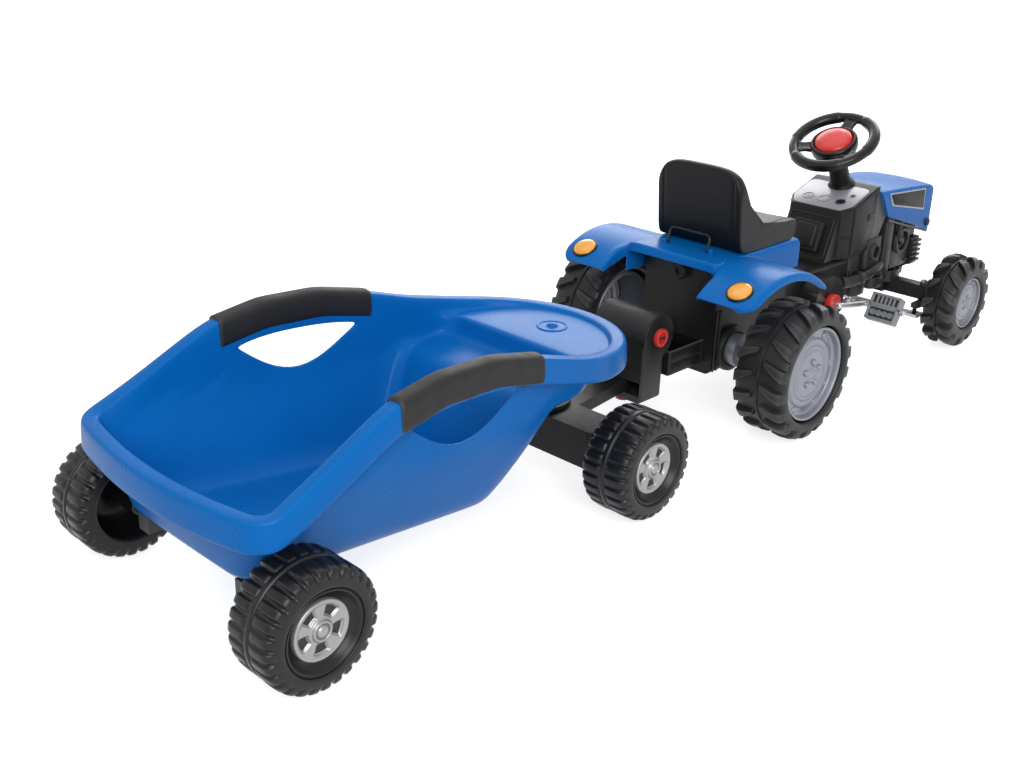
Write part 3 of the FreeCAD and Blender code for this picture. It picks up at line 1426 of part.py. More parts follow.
def tub_plan(inset, z0, z1):
    rear = tub_rear_x + inset
    front = tub_nose_x - inset
    wide = tub_rim_half_width - inset
    narrow = tub_nose_half_width - inset
    corners = [(rear, -wide), (front, -narrow), (front, narrow), (rear, wide)]
    radii = [tub_rear_corner - inset, tub_nose_corner - inset, tub_nose_corner - inset, tub_rear_corner - inset]
    return rounded_prism(corners, radii, z0, z1)


def tub_taper(inset):
    wires = []
    for z, rear, half in (
        (tub_lower_z, tub_lower_rear_x, tub_lower_half_width), (tub_upper_z, tub_upper_rear_x, tub_upper_half_width)
    ):
        corners = [
            (rear + inset, inset - half), (tub_nose_x, inset - half), (tub_nose_x, half - inset),
            (rear + inset, half - inset),
        ]
        corner = tub_lower_corner - inset
        wires.append(rounded_wire(corners, [corner] * 4, z))
    return Part.makeLoft(wires, True, True)


def tub_side(lift):
    half = tub_upper_half_width
    fall = (tub_floor_front_z - tub_floor_rear_z) / (tub_floor_front_x - tub_floor_rear_x)
    rear_x = tub_upper_rear_x - overrun
    rear_z = tub_floor_rear_z + (rear_x - tub_floor_rear_x) * fall
    return side_prism(
        [(rear_x, rear_z + lift), (tub_floor_front_x - lift * 1.2, tub_floor_front_z + lift),
         (tub_ramp_top_x - lift * 1.5, tub_ramp_top_z + lift), (tub_ledge_front_x - lift, tub_ledge_front_z + lift),
         (tub_riser_x - lift * 1.5, tub_upper_z), (rear_x, tub_upper_z)],
        -half, half,
    )


def build_tub():
    half = tub_upper_half_width
    low = tub_taper(0).common(tub_plan(tub_lip_inset, tub_lower_z, tub_upper_z)).common(tub_side(0))
    low = low.common(under_rim(0, 0))
    band = tub_plan(0, 0, tub_upper_z).common(under_rim(0, 0)).cut(under_rim(tub_skirt, -tub_upper_z))
    solid = low.fuse(band)
    border = tub_platform_border
    plate_rear_x = tub_riser_x - tub_wall
    plate = tub_plan(border - tub_skin, 0, tub_upper_z).common(box(
        plate_rear_x, tub_nose_x, -half, half, tub_platform_z - tub_skin, tub_upper_z
    ))
    hollow = tub_plan(tub_skin, 0, tub_upper_z).common(under_rim(tub_skin, 0)).cut([low, plate])
    recess = tub_plan(border, 0, tub_upper_z).common(box(
        plate_rear_x - overrun, tub_nose_x, -half, half, tub_platform_z, tub_upper_z
    ))
    cavity = tub_taper(tub_wall).common(tub_plan(tub_lip_inset + tub_wall, tub_lower_z, tub_upper_z))
    cavity = cavity.common(tub_side(tub_wall))
    hole_low = Vector((hand_hole_rear_x + hand_hole_front_x) / 2, 0, hand_hole_low_z)
    hole_rear = Vector(hand_hole_rear_x, 0, hand_hole_top_rear_z)
    hole_front = Vector(hand_hole_front_x, 0, hand_hole_top_front_z)
    hole_edges = [
        Part.Arc(hole_rear, hole_low, hole_front).toShape(), Part.LineSegment(hole_front, hole_rear).toShape()
    ]
    hole = moved(Part.Face(Part.Wire(hole_edges)).extrude(Vector(0, half * 2, 0)), 0, -half, 0)
    tub = solid.cut([hollow, cavity, recess, hole])
    boss_low = bogie_top_z + turntable_height + turning_gap
    boss_high = tub_platform_z - tub_skin / 2
    boss = z_rod(bogie_x, 0, boss_low, boss_high, boss_radius)
    boss = boss.cut([
        z_rod(bogie_x, 0, boss_low + boss_floor, tub_platform_z - tub_skin, boss_radius - tub_wall),
        z_rod(bogie_x, 0, boss_low, boss_low + boss_floor, king_bolt_radius + running_gap),
    ])
    dial_top = tub_platform_z + dial_height
    dial = z_rod(dial_x, 0, tub_platform_z - tub_skin / 2, dial_top, dial_radius)
    bump = z_rod(dial_x, 0, tub_platform_z, dial_top + dial_bump_height, dial_bump_radius)
    tub = tub.fuse([boss, dial, bump]).removeSplitter()
    save("tub", tub)
    grip_zone = box(grip_rear_x, grip_front_x, 0, tub_upper_half_width, 0, tub_upper_z + overrun)
    sleeve = tub_plan(-grip_skin, 0, tub_upper_z + overrun).common(under_rim(-grip_skin, 0))
    sleeve = sleeve.cut(under_rim(grip_drop, -tub_upper_z))
    sleeve = sleeve.common(grip_zone)
    core = tub_plan(0, 0, tub_upper_z).common(under_rim(0, 0)).cut(cavity)
    room = tub_plan(tub_lip_inset + tub_wall + grip_skin, 0, tub_upper_z + overrun * 2)
    sleeve = sleeve.cut([core, room])
    save("tub_grips", Part.makeCompound(both_sides(sleeve)))
    block = box(
        trailer_axle_x - axle_bracket_half_depth, trailer_axle_x + axle_bracket_half_depth, axle_bracket_inner_y,
        axle_bracket_outer_y, axle_bracket_floor_z, tub_rim_rear_z,
    )
    above = tub_side(0)
    block = block.cut(above)
    block = block.cut(y_rod(trailer_axle_x, trailer_axle_z, 0, tub_rim_half_width, trailer_axle_radius))
    save("trailer_axle_brackets", Part.makeCompound(both_sides(block)))


os.makedirs("parts", exist_ok=True)
build_tractor_wheels()
build_body()
build_drive()
build_steering()
build_front()
build_saddle()
build_seat()
build_hitch()
build_bogie()
build_trailer_wheels()
build_tub()
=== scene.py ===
"""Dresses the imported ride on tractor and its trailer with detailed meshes, finishes, light and a camera."""

import logging
import math
from dataclasses import dataclass
from enum import Enum
from typing import Callable, Optional, Sequence

import bmesh
import bpy
from mathutils import Matrix, Vector


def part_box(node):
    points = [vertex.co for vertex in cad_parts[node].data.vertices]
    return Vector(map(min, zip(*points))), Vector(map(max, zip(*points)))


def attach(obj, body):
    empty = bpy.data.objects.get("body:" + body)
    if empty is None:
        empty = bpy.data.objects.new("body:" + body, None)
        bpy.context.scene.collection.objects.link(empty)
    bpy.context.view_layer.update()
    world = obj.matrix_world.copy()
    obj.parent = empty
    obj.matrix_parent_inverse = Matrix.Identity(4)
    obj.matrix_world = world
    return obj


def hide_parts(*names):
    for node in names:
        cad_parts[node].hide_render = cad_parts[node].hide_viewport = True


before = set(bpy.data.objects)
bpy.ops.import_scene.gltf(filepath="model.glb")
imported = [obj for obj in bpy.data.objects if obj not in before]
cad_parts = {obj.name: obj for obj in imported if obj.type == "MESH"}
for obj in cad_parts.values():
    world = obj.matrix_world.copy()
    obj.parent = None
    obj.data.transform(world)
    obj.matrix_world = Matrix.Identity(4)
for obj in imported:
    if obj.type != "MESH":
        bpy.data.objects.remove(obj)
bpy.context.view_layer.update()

LOG = logging.getLogger("tractor")
MM = 0.001
REAR_LOW, REAR_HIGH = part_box("rear_tyre_right")
AXLE_X = (REAR_LOW.x + REAR_HIGH.x) / 2
IMAGE_WIDTH = 1024
WELD_GAP = 0.02
NODE_GAP = 0.01
PLATE_SHARP = 50.0
KNOB_FACES = 16
CLIP_SHARE = 0.45
CORNER_SHARE = 0.48
TINY = 0.001
Colour = tuple[float, float, float]
Spot = tuple[float, float, float]
ORIGIN: Spot = (0.0, 0.0, 0.0)


def spot(x: float, y: float, z: float) -> Vector:
    """Turns millimetres of the tractor's own frame, from under the rear axle, into row metres."""
    return Vector((AXLE_X + x * MM, y * MM, z * MM))


def mix(low: float, high: float, share: float) -> float:
    """Returns the value that lies at a share of the way from low to high."""
    return low + (high - low) * share


def along(table: Sequence[tuple[float, float]], place: float) -> float:
    """Reads a height off a short table of places and heights.

    Args:
        table: Pairs of place and height, in rising order of place.
        place: Where to read.

    Returns:
        The height, on a straight line between the two nearest pairs.
    """
    if place <= table[0][0]:
        return table[0][1]
    for (x0, z0), (x1, z1) in zip(table, table[1:]):
        if place <= x1:
            return mix(z0, z1, (place - x0) / (x1 - x0))
    return table[-1][1]


@dataclass(frozen=True)
class Finish:
    """One moulded, plated or printed surface, made of shader nodes.

    Colours are linear, scales are repeats in a metre and depths are metres.
    """

    name: str
    slot: str
    colour: Colour
    roughness: float
    metallic: float = 0.0
    coat: float = 0.0
    specular: float = 0.5
    mottle: float = 0.10
    mottle_scale: float = 9.0
    grain_scale: float = 900.0
    grain_depth: float = 0.00006
    # Strength of the painted highlight that lightens convex edges towards white.
    wear: float = 0.18
    sheen: float = 0.0
    gloss_spread: float = 0.25
    gloss_scale: float = 6.0
    tone_stops: tuple[float, float] = (0.3, 0.7)
    # Pointiness range of the painted edge highlight, and below it how far towards white that highlight goes.
    edge_range: tuple[float, float] = (0.53, 0.66)
    highlight_share: float = 0.45
    bump_strength: float = 0.6
    coat_roughness: float = 0.08

    def material(self) -> bpy.types.Material:
        """Returns the finish as a material, made on its first use."""
        found = bpy.data.materials.get(self.name)
        if found is not None:
            return found
        made = bpy.data.materials.new(self.name)
        made.use_nodes = True
        self.paint(made.node_tree)
        made.diffuse_color = (*self.colour, 1.0)
        return made

    def paint(self, tree: bpy.types.NodeTree) -> None:
        """Builds the nodes: mottled colour, a painted highlight that lightens convex edges, uneven gloss and
        a fine moulded grain.

        Args:
            tree: The node tree of a new material.
        """
        nodes = tree.nodes
        shader = nodes["Principled BSDF"]
        place = nodes.new("ShaderNodeTexCoord").outputs["Object"]
        cloud = self.noise(tree, place, self.mottle_scale, 4.0)
        tone = nodes.new("ShaderNodeValToRGB")
        shares = (1.0 - self.mottle, 1.0 + self.mottle)
        for element, stop, share in zip(tone.color_ramp.elements, self.tone_stops, shares):
            element.position = stop
            element.color = (*self.shade(share), 1.0)
        tree.links.new(cloud, tone.inputs["Fac"])
        # Painted highlight: convex edges, found by pointiness, are mixed towards white.
        edge = nodes.new("ShaderNodeMapRange")
        edge.inputs["From Min"].default_value = self.edge_range[0]
        edge.inputs["From Max"].default_value = self.edge_range[1]
        edge.inputs["To Max"].default_value = self.wear
        tree.links.new(nodes.new("ShaderNodeNewGeometry").outputs["Pointiness"], edge.inputs["Value"])
        tint = nodes.new("ShaderNodeMix")
        tint.data_type = "RGBA"
        tint.inputs["B"].default_value = (*[mix(part, 1.0, self.highlight_share) for part in self.colour], 1.0)
        tree.links.new(edge.outputs["Result"], tint.inputs["Factor"])
        tree.links.new(tone.outputs["Color"], tint.inputs["A"])
        tree.links.new(tint.outputs["Result"], shader.inputs["Base Color"])
        gloss = nodes.new("ShaderNodeMapRange")
        gloss.inputs["To Min"].default_value = self.roughness * (1.0 - self.gloss_spread)
        gloss.inputs["To Max"].default_value = min(1.0, self.roughness * (1.0 + self.gloss_spread))
        tree.links.new(
            self.noise(tree, place, self.mottle_scale * self.gloss_scale, 5.0), gloss.inputs["Value"],
        )
        tree.links.new(gloss.outputs["Result"], shader.inputs["Roughness"])
        bump = nodes.new("ShaderNodeBump")
        bump.inputs["Strength"].default_value = self.bump_strength
        bump.inputs["Distance"].default_value = self.grain_depth
        tree.links.new(self.noise(tree, place, self.grain_scale, 2.0), bump.inputs["Height"])
        tree.links.new(bump.outputs["Normal"], shader.inputs["Normal"])
        shader.inputs["Metallic"].default_value = self.metallic
        shader.inputs["Coat Weight"].default_value = self.coat
        shader.inputs["Coat Roughness"].default_value = self.coat_roughness
        shader.inputs["Specular IOR Level"].default_value = self.specular
        shader.inputs["Sheen Weight"].default_value = self.sheen

    def shade(self, share: float) -> Colour:
        """Returns the base colour made lighter or darker by a share."""
        return tuple(min(1.0, part * share) for part in self.colour)

    @staticmethod
    def noise(
        tree: bpy.types.NodeTree, place: bpy.types.NodeSocket, scale: float, detail: float
    ) -> bpy.types.NodeSocket:
        """Adds a noise texture.

        Args:
            tree: The material's node tree.
            place: The coordinates that the noise reads.
            scale: Repeats in a metre.
            detail: Octaves of finer noise.

        Returns:
            The socket with the noise's value.
        """
        node = tree.nodes.new("ShaderNodeTexNoise")
        node.inputs["Scale"].default_value = scale
        node.inputs["Detail"].default_value = detail
        tree.links.new(place, node.inputs["Vector"])
        return node.outputs["Fac"]


class Coating(Enum):
    """The finishes of the toy."""

    BLUE = Finish(
        "blue_moulding", "blue_plastic", (0.002, 0.128, 0.44), 0.30, specular=0.09, mottle=0.05,
        grain_scale=700.0, grain_depth=0.00002,
    )
    BLACK = Finish(
        "black_moulding", "black_plastic", (0.006, 0.006, 0.0065), 0.42, specular=0.22, grain_scale=1100.0,
    )
    GLOSS = Finish(
        "black_gloss_moulding", "black_gloss", (0.006, 0.006, 0.0065), 0.26, specular=0.3, wear=0.1,
    )
    TREAD = Finish(
        "tractor_tread", "tread_black", (0.016, 0.016, 0.017), 0.46, specular=0.3, grain_scale=800.0,
        wear=0.3,
    )
    BLOCKS = Finish(
        "trailer_tread", "tread_black", (0.008, 0.008, 0.009), 0.32, specular=0.3, grain_scale=800.0,
        wear=0.2,
    )
    GRIP = Finish("grip_sleeve", "grip_black", (0.014, 0.014, 0.014), 0.6, specular=0.3, grain_scale=1500.0)
    RIM = Finish(
        "rim_grey_moulding", "rim_grey", (0.27, 0.28, 0.32), 0.34, specular=0.4, metallic=0.3, mottle=0.06,
        wear=0.25,
    )
    # Painted shade: this dark finish floors the rims' slots, the pedals' hollows and the hitch caps' slots;
    # under the hubcaps' spokes it is the black of the wheel behind.
    RECESS = Finish("rim_recess", "black_gloss", (0.012, 0.012, 0.014), 0.55, wear=0.0)
    PEDAL = Finish("pedal_grey_moulding", "pedal_grey", (0.19, 0.20, 0.215), 0.36)
    PANEL = Finish("dash_foil", "panel_grey", (0.33, 0.33, 0.37), 0.30, mottle=0.10, grain_depth=0.00002)
    DARK = Finish(
        "plain_foil", "panel_dark", (0.004, 0.004, 0.005), 0.45, specular=0.12, grain_depth=0.00002,
    )
    RED = Finish("red_moulding", "red_plastic", (0.60, 0.022, 0.018), 0.26, mottle=0.05)
    ORANGE = Finish(
        "lamp_orange_lens", "lamp_orange", (0.86, 0.36, 0.02), 0.18, coat=0.4, grain_depth=0.00001,
    )
    CLEAR = Finish("lamp_clear_lens", "lamp_clear", (0.72, 0.73, 0.72), 0.12, coat=0.5, grain_depth=0.00001)
    SILVER = Finish(
        "hub_plating", "hub_silver", (0.34, 0.335, 0.33), 0.36, metallic=0.6, mottle=0.05, wear=0.3,
    )
    STEEL = Finish(
        "zinc_steel", "steel", (0.50, 0.50, 0.51), 0.33, metallic=0.9, mottle=0.08, grain_scale=400.0,
    )


class Shape:
    """Points and faces gathered in the tractor's own millimetres, which become one piece."""

    def __init__(self) -> None:
        """Starts an empty shape."""
        self.points: list[Vector] = []
        self.faces: list[tuple[int, ...]] = []
        self.marks: list[int] = []
        self.creases: dict[tuple[int, int], float] = {}

    def ring(self, points: Sequence[Spot]) -> list[int]:
        """Adds a row of points and returns their numbers."""
        first = len(self.points)
        self.points.extend(Vector(point) for point in points)
        return list(range(first, len(self.points)))

    def face(self, corners: Sequence[int], mark: int = 0) -> None:
        """Adds one face, with the number of the finish that it wears."""
        self.faces.append(tuple(corners))
        self.marks.append(mark)

    def bridge(self, first: Sequence[int], second: Sequence[int], mark: int = 0) -> None:
        """Joins two rings of the same length with four sided faces.

        Args:
            first: Numbers of the first ring.
            second: Numbers of the second ring.
            mark: The finish of the faces.
        """
        count = len(first)
        for here in range(count):
            after = (here + 1) % count
            self.face((first[here], first[after], second[after], second[here]), mark)

    def loft(self, rows: Sequence[Sequence[Spot]], caps: bool = False, mark: int = 0) -> list[list[int]]:
        """Adds several rings and joins each with the next.

        Args:
            rows: The rings of points.
            caps: Whether the first and last rings are filled.
            mark: The finish of the faces.

        Returns:
            The numbers of each ring's points.
        """
        rings = [self.ring(row) for row in rows]
        for first, second in zip(rings, rings[1:]):
            self.bridge(first, second, mark)
        if caps:
            self.face(rings[0][::-1], mark)
            self.face(rings[-1], mark)
        return rings

    def strip(self, ring: Sequence[int]) -> None:
        """Closes the end of a folded section with faces from each of its points to the one across the wall.

        Args:
            ring: Numbers of the section's points, down one skin and back up the other.
        """
        last = len(ring) - 1
        for here in range(len(ring) // 2 - 1):
            self.face((ring[here], ring[here + 1], ring[last - here - 1], ring[last - here]))

    def crease(self, row: Sequence[int], weight: float, closed: bool = True) -> None:
        """Keeps the edges along a row sharp when the piece is subdivided.

        Args:
            row: Numbers of the row's points.
            weight: From 0, round, to 1, sharp.
            closed: Whether the row runs back to its start.
        """
        count = len(row)
        for here in range(count if closed else count - 1):
            pair = (row[here], row[(here + 1) % count])
            self.creases[(min(pair), max(pair))] = weight

    def join(
        self, other: "Shape", move: Optional[Callable[[Vector], Vector]] = None, mark: int = 0,
    ) -> None:
        """Adds a copy of another shape.

        Args:
            other: The shape to copy.
            move: Where each of its points goes, or None to leave them.
            mark: Added to the finish numbers of its faces.
        """
        first = len(self.points)
        self.points.extend(move(point) if move else point.copy() for point in other.points)
        for corners, tint in zip(other.faces, other.marks):
            self.face([first + corner for corner in corners], tint + mark)
        for (start, end), weight in other.creases.items():
            self.creases[(first + start, first + end)] = weight

    def moved(self, move: Callable[[Vector], Vector]) -> "Shape":
        """Copies the shape to another place.

        Args:
            move: Where each of its points goes.

        Returns:
            The copy.
        """
        made = Shape()
        made.join(self, move)
        return made

    def piece(self, name: str, body: str, finishes: Sequence[Coating], replaces: Sequence[str] = (),
              smooth: int = 0, bevel: float = 0.0, sharp: float = 40.0) -> bpy.types.Object:
        """Turns the shape into an object that rides on a body of the frame.

        Args:
            name: The piece's name.
            body: The body that carries it.
            finishes: Finishes in the order of the faces' marks.
            replaces: Nodes of the frame that it stands for.
            smooth: Levels of subdivision.
            bevel: Width of rounded edges in millimetres.
            sharp: Angle in degrees above which an edge is rounded or stays sharp.

        Returns:
            The new object.
        """
        mesh = bpy.data.meshes.new(name)
        mesh.from_pydata([spot(*point) for point in self.points], [], self.faces)
        for finish in finishes:
            mesh.materials.append(finish.value.material())
        mesh.polygons.foreach_set("material_index", self.marks)
        if self.creases:
            weights = {tuple(sorted(edge.vertices)): edge.index for edge in mesh.edges}
            layer = mesh.attributes.new("crease_edge", "FLOAT", "EDGE")
            for pair, weight in self.creases.items():
                if pair in weights:
                    layer.data[weights[pair]].value = weight
        work = bmesh.new()
        work.from_mesh(mesh)
        bmesh.ops.remove_doubles(work, verts=work.verts, dist=WELD_GAP * MM)
        bmesh.ops.recalc_face_normals(work, faces=work.faces)
        limit = math.radians(sharp)
        for edge in work.edges:
            edge.smooth = smooth > 0 or bevel > 0 or edge.calc_face_angle(0.0) < limit
        for polygon in work.faces:
            polygon.smooth = True
        work.to_mesh(mesh)
        work.free()
        made = bpy.data.objects.new(name, mesh)
        bpy.context.collection.objects.link(made)
        if bevel > 0:
            soften(made, bevel, sharp, 3)
        if smooth > 0:
            fine = made.modifiers.new("smooth", "SUBSURF")
            fine.levels = smooth
            fine.render_levels = smooth
        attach(made, body)
        if replaces:
            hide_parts(*replaces)
        LOG.info("%s rides on %s with %d faces", name, body, len(mesh.polygons))
        return made


def soften(made: bpy.types.Object, width: float, sharp: float = 30.0, segments: int = 2) -> None:
    """Rounds an object's hard edges.

    Args:
        made: The object.
        width: Width of the rounding in millimetres.
        sharp: Angle in degrees above which an edge is rounded.
        segments: Faces across each rounding.
    """
    edge = made.modifiers.new("edges", "BEVEL")
    edge.width = width * MM
    edge.segments = segments
    edge.limit_method = "ANGLE"
    edge.angle_limit = math.radians(sharp)
    edge.harden_normals = True
    edge.use_clamp_overlap = True


def dress(node: str, coating: Coating, bevel: float) -> None:
    """Gives a node of the frame its finish and soft edges.

    Args:
        node: The node's name.
        coating: Its finish.
        bevel: Width of its rounded edges in millimetres, or 0 to leave them.
    """
    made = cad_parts[node]
    made.data.materials.clear()
    made.data.materials.append(coating.value.material())
    if bevel > 0:
        weld = made.modifiers.new("weld", "WELD")
        weld.merge_threshold = NODE_GAP * MM
        soften(made, bevel)
    LOG.info("node %s is dressed in %s", node, coating.value.name)


def mirrored(point: Vector) -> Vector:
    """Returns a point on the other side of the tractor."""
    return Vector((point.x, -point.y, point.z))


def paired(*shapes: Shape) -> Shape:
    """Joins shapes of one side with their mirror images.

    Args:
        shapes: The shapes of one side.

    Returns:
        One shape with both sides.
    """
    made = Shape()
    for shape in shapes:
        made.join(shape)
        made.join(shape, mirrored)
    return made


def lofted(rows: Sequence[Sequence[Spot]], caps: bool = True, mark: int = 0) -> Shape:
    """Joins rings into a shape.

    Args:
        rows: The rings of points.
        caps: Whether the first and last rings are filled.
        mark: The finish of the faces.

    Returns:
        The new shape.
    """
    made = Shape()
    made.loft(rows, caps, mark)
    return made


def revolve(section: Sequence[tuple[float, float]], count: int, centre: Spot, axis: str,
            caps: bool = True, mark: int = 0) -> Shape:
    """Turns a section about an axis.

    Args:
        section: Pairs of radius and place along the axis, from one end to the other.
        count: Faces round the axis.
        centre: Where the axis starts.
        axis: The letter of the axis, x, y or z.
        caps: Whether the two end rings are filled.
        mark: The finish of the faces.

    Returns:
        The turned shape.
    """
    rows = []
    for radius, place in section:
        row = []
        for step in range(count):
            angle = math.tau * step / count
            across, up = radius * math.cos(angle), radius * math.sin(angle)
            turned = {"x": (place, across, up), "y": (up, place, across), "z": (across, up, place)}[axis]
            row.append(tuple(start + part for start, part in zip(centre, turned)))
        rows.append(row)
    return lofted(rows, caps, mark)


def filleted(path: Sequence[Vector], reaches: Sequence[float]) -> list[Vector]:
    """Puts two points in place of each corner of a path, so that subdivision rounds it.

    Args:
        path: The corners.
        reaches: How far each corner's two points stand from it. The ends of the path stay.

    Returns:
        The points of the rounded path.
    """
    made = [path[0]]
    for before, corner, after, reach in zip(path, path[1:], path[2:], reaches[1:]):
        back, on = before - corner, after - corner
        made.append(corner + back * min(CLIP_SHARE, reach / max(back.length, TINY)))
        made.append(corner + on * min(CLIP_SHARE, reach / max(on.length, TINY)))
    made.append(path[-1])
    return made


@dataclass
class Tub:
    """The trailer's tub: one moulded shell with a thick rim, hand holes and platform, and its grips."""

    rear_x: float = -1104.0
    rear_bow: float = 18.0
    rear_half: float = 213.0
    rear_corner: float = 48.0
    nose_x: float = -302.0
    nose_radius: float = 178.0
    rim_width: float = 24.0
    lip_rear: float = 41.0
    lip_nose: float = 38.0
    lip_step: float = 17.0
    lip_flare: float = 2.4
    wall: float = 4.0
    floor_edge: float = 30.0
    foot_half: float = 120.0
    foot_z: float = 40.0
    flare: float = 0.37
    foot_rear_x: float = -1053.0
    foot_corner: float = 42.0
    floor_rear_z: float = 100.2
    floor_fall: float = 0.1059
    floor_rear_x: float = -1062.0
    ramp_foot_x: float = -640.0
    ramp_top_x: float = -560.0
    ramp_top_z: float = 190.0
    ramp_half: float = 112.0
    riser_x: float = -464.0
    platform_z: float = 229.0
    hole_rear_x: float = -842.0
    hole_front_x: float = -642.0
    hole_low_z: float = 195.0
    hole_bar: float = 45.0
    hole_corner: float = 8.0
    grip_rear_x: float = -870.0
    grip_front_x: float = -612.0
    grip_skin: float = 3.2
    grip_drops: tuple[float, float] = (43.5, 41.5)
    grip_steps: int = 14
    dial_x: float = -386.0
    dial_radius: float = 25.0
    boss_x: float = -421.0
    boss_radius: float = 30.0
    boss_low_z: float = 122.5
    rim_heights: tuple[tuple[float, float], ...] = (
        (-1104.0, 216.0), (-1049.0, 222.0), (-986.0, 250.0), (-882.0, 302.0), (-795.0, 316.0),
        (-699.0, 312.0), (-612.0, 292.0), (-532.0, 267.0), (-453.0, 250.0), (-381.0, 242.0),
        (-302.0, 237.0),
    )
    side_places: tuple[float, ...] = (
        -1000.0, -960.0, -915.0, -876.0, -842.0, -800.0, -742.0, -684.0, -642.0, -602.0, -566.0, -520.0,
        -480.0,
    )
    corner_angles: tuple[float, ...] = (90.0, 67.5, 45.0, 22.5, 0.0)
    nose_angles: tuple[float, ...] = (75.0, 60.0, 45.0, 30.0, 15.0, 0.0)
    nose_shares: tuple[float, ...] = (0.84, 0.68, 0.51, 0.34, 0.17, 0.0)
    rear_shares: tuple[float, ...] = (0.0, 0.48, 0.9)
    wall_shares: tuple[float, ...] = (0.3, 0.48, 0.62, 0.76)
    reaches: tuple[float, ...] = (
        0.0, 14.0, 12.0, 7.0, 2.6, 3.0, 3.2, 3.0, 1.8, 2.0, 4.0, 4.0, 10.0, 20.0, 14.0, 0.0,
    )

    def build(self) -> None:
        """Makes the tub, its moulded dial and boss, and both grips."""
        self.build_shell()
        self.build_mouldings()
        self.build_grips()

    def rim_z(self, x: float) -> float:
        """Returns the height of the rim."""
        return along(self.rim_heights, x)

    def floor_z(self, x: float) -> float:
        """Returns the height of the sloping floor."""
        return self.floor_rear_z - (x - self.floor_rear_x) * self.floor_fall

    def half_width(self, x: float) -> float:
        """Returns half the width of the rim, which narrows towards the nose."""
        run = self.nose_x - self.rear_x
        return mix(self.rear_half, self.nose_radius, (x - self.rear_x) / run)

    def wall_y(self, z: float, limit: float) -> float:
        """Returns how far out the flared inner wall stands at a height, up to a limit."""
        return min(self.foot_half + self.flare * (z - self.foot_z) - self.wall, limit)

    def hole_z(self, x: float) -> float:
        """Returns the height of the curved lower edge of a hand hole."""
        middle = (self.hole_rear_x + self.hole_front_x) / 2
        share = (x - middle) / (self.hole_front_x - middle)
        return mix(self.hole_low_z, self.hole_top(x) - self.hole_corner, share * share)

    def hole_top(self, x: float) -> float:
        """Returns the height of a hand hole's upper edge, which follows the rim."""
        return self.rim_z(x) - self.hole_bar

    def rear_path(self, rim: Vector, way: Vector, foot: Vector) -> list[Vector]:
        """Returns the inner corners of a station at the rear: floor, wall and rim.

        Args:
            rim: Where the rim's outer edge is, without its height.
            way: The direction out of the tub.
            foot: Where the wall meets the floor, without its height.
        """
        top = Vector((rim.x, rim.y, self.rim_z(rim.x)))
        inner = top - way * self.rim_width
        base = Vector((foot.x, foot.y, self.floor_z(foot.x)))
        walls = [base.lerp(inner - Vector((0, 0, 9.0)), share) for share in self.wall_shares]
        return [base - way * self.floor_edge, base] + walls + [inner, top]

    def side_path(self, x: float) -> list[Vector]:
        """Returns the inner corners of a station on the side, behind the foot of the ramp.

        Args:
            x: Where the station is along the tub.
        """
        limit = self.half_width(x) - self.rim_width
        span = (x - self.side_places[0]) / (self.ramp_foot_x - self.side_places[0])
        foot_x = mix(self.side_places[0], self.ramp_foot_x - 12.0, span)
        base_z = self.floor_z(foot_x)
        top_z = self.rim_z(x)
        heights = [mix(base_z, top_z, share) for share in self.wall_shares]
        if self.hole_rear_x <= x <= self.hole_front_x:
            low = self.hole_z(x)
            heights = [mix(base_z, low, 0.4), mix(base_z, low, 0.78), low, self.hole_top(x)]
        base = Vector((foot_x, self.wall_y(base_z, limit), base_z))
        walls = [
            Vector((
                mix(foot_x, x, (z - base_z) / (top_z - base_z)), self.wall_y(z, limit), z,
            )) for z in heights
        ]
        for number in (2, 3):
            walls[number].x = x
        inner = Vector((x, limit, top_z))
        return [base - Vector((0, self.floor_edge, 0)), base] + walls + [
            inner, Vector((x, self.half_width(x), top_z)),
        ]

    def turn_path(self, x: float) -> list[Vector]:
        """Returns the inner corners of a station where the side wall meets the ramp and the ledge.

        Args:
            x: Where the station is along the tub.
        """
        limit = self.half_width(x) - self.rim_width
        share = (x - self.hole_front_x) / (self.side_places[-1] - self.hole_front_x)
        base_z = self.floor_z(self.ramp_foot_x)
        base = Vector((
            self.ramp_foot_x - 8.0 + 8.0 * share, self.wall_y(base_z, limit) - 4.0 - 20.0 * share, base_z,
        ))
        top_z = self.rim_z(x)
        ledge = self.ramp_top_z + 3.0
        if x <= self.ramp_top_x:
            rise = (x - self.ramp_foot_x) / (self.ramp_top_x - self.ramp_foot_x)
            low_z = mix(base_z, ledge, rise) + 5.0
            low = Vector((x, self.wall_y(low_z, limit) - 3.0, low_z))
            heights = [mix(low_z, top_z, part) for part in (0.32, 0.54, 0.76)]
            rest = [Vector((x, self.wall_y(z, limit), z)) for z in heights]
        else:
            on = (x - self.ramp_top_x) / (self.riser_x - self.ramp_top_x)
            low = Vector((
                self.ramp_top_x + 2.0, self.wall_y(ledge, limit) - 8.0 - 16.0 * on, self.ramp_top_z,
            ))
            heights = [ledge + 3.0, mix(ledge, top_z, 0.45), mix(ledge, top_z, 0.72)]
            rest = [Vector((x, self.wall_y(z, limit) - 2.0, z)) for z in heights]
        inward = Vector((-16.0, -26.0, 1.7))
        top = Vector((x, self.half_width(x), top_z))
        return [base + inward, base, low] + rest + [Vector((x, limit, top_z)), top]

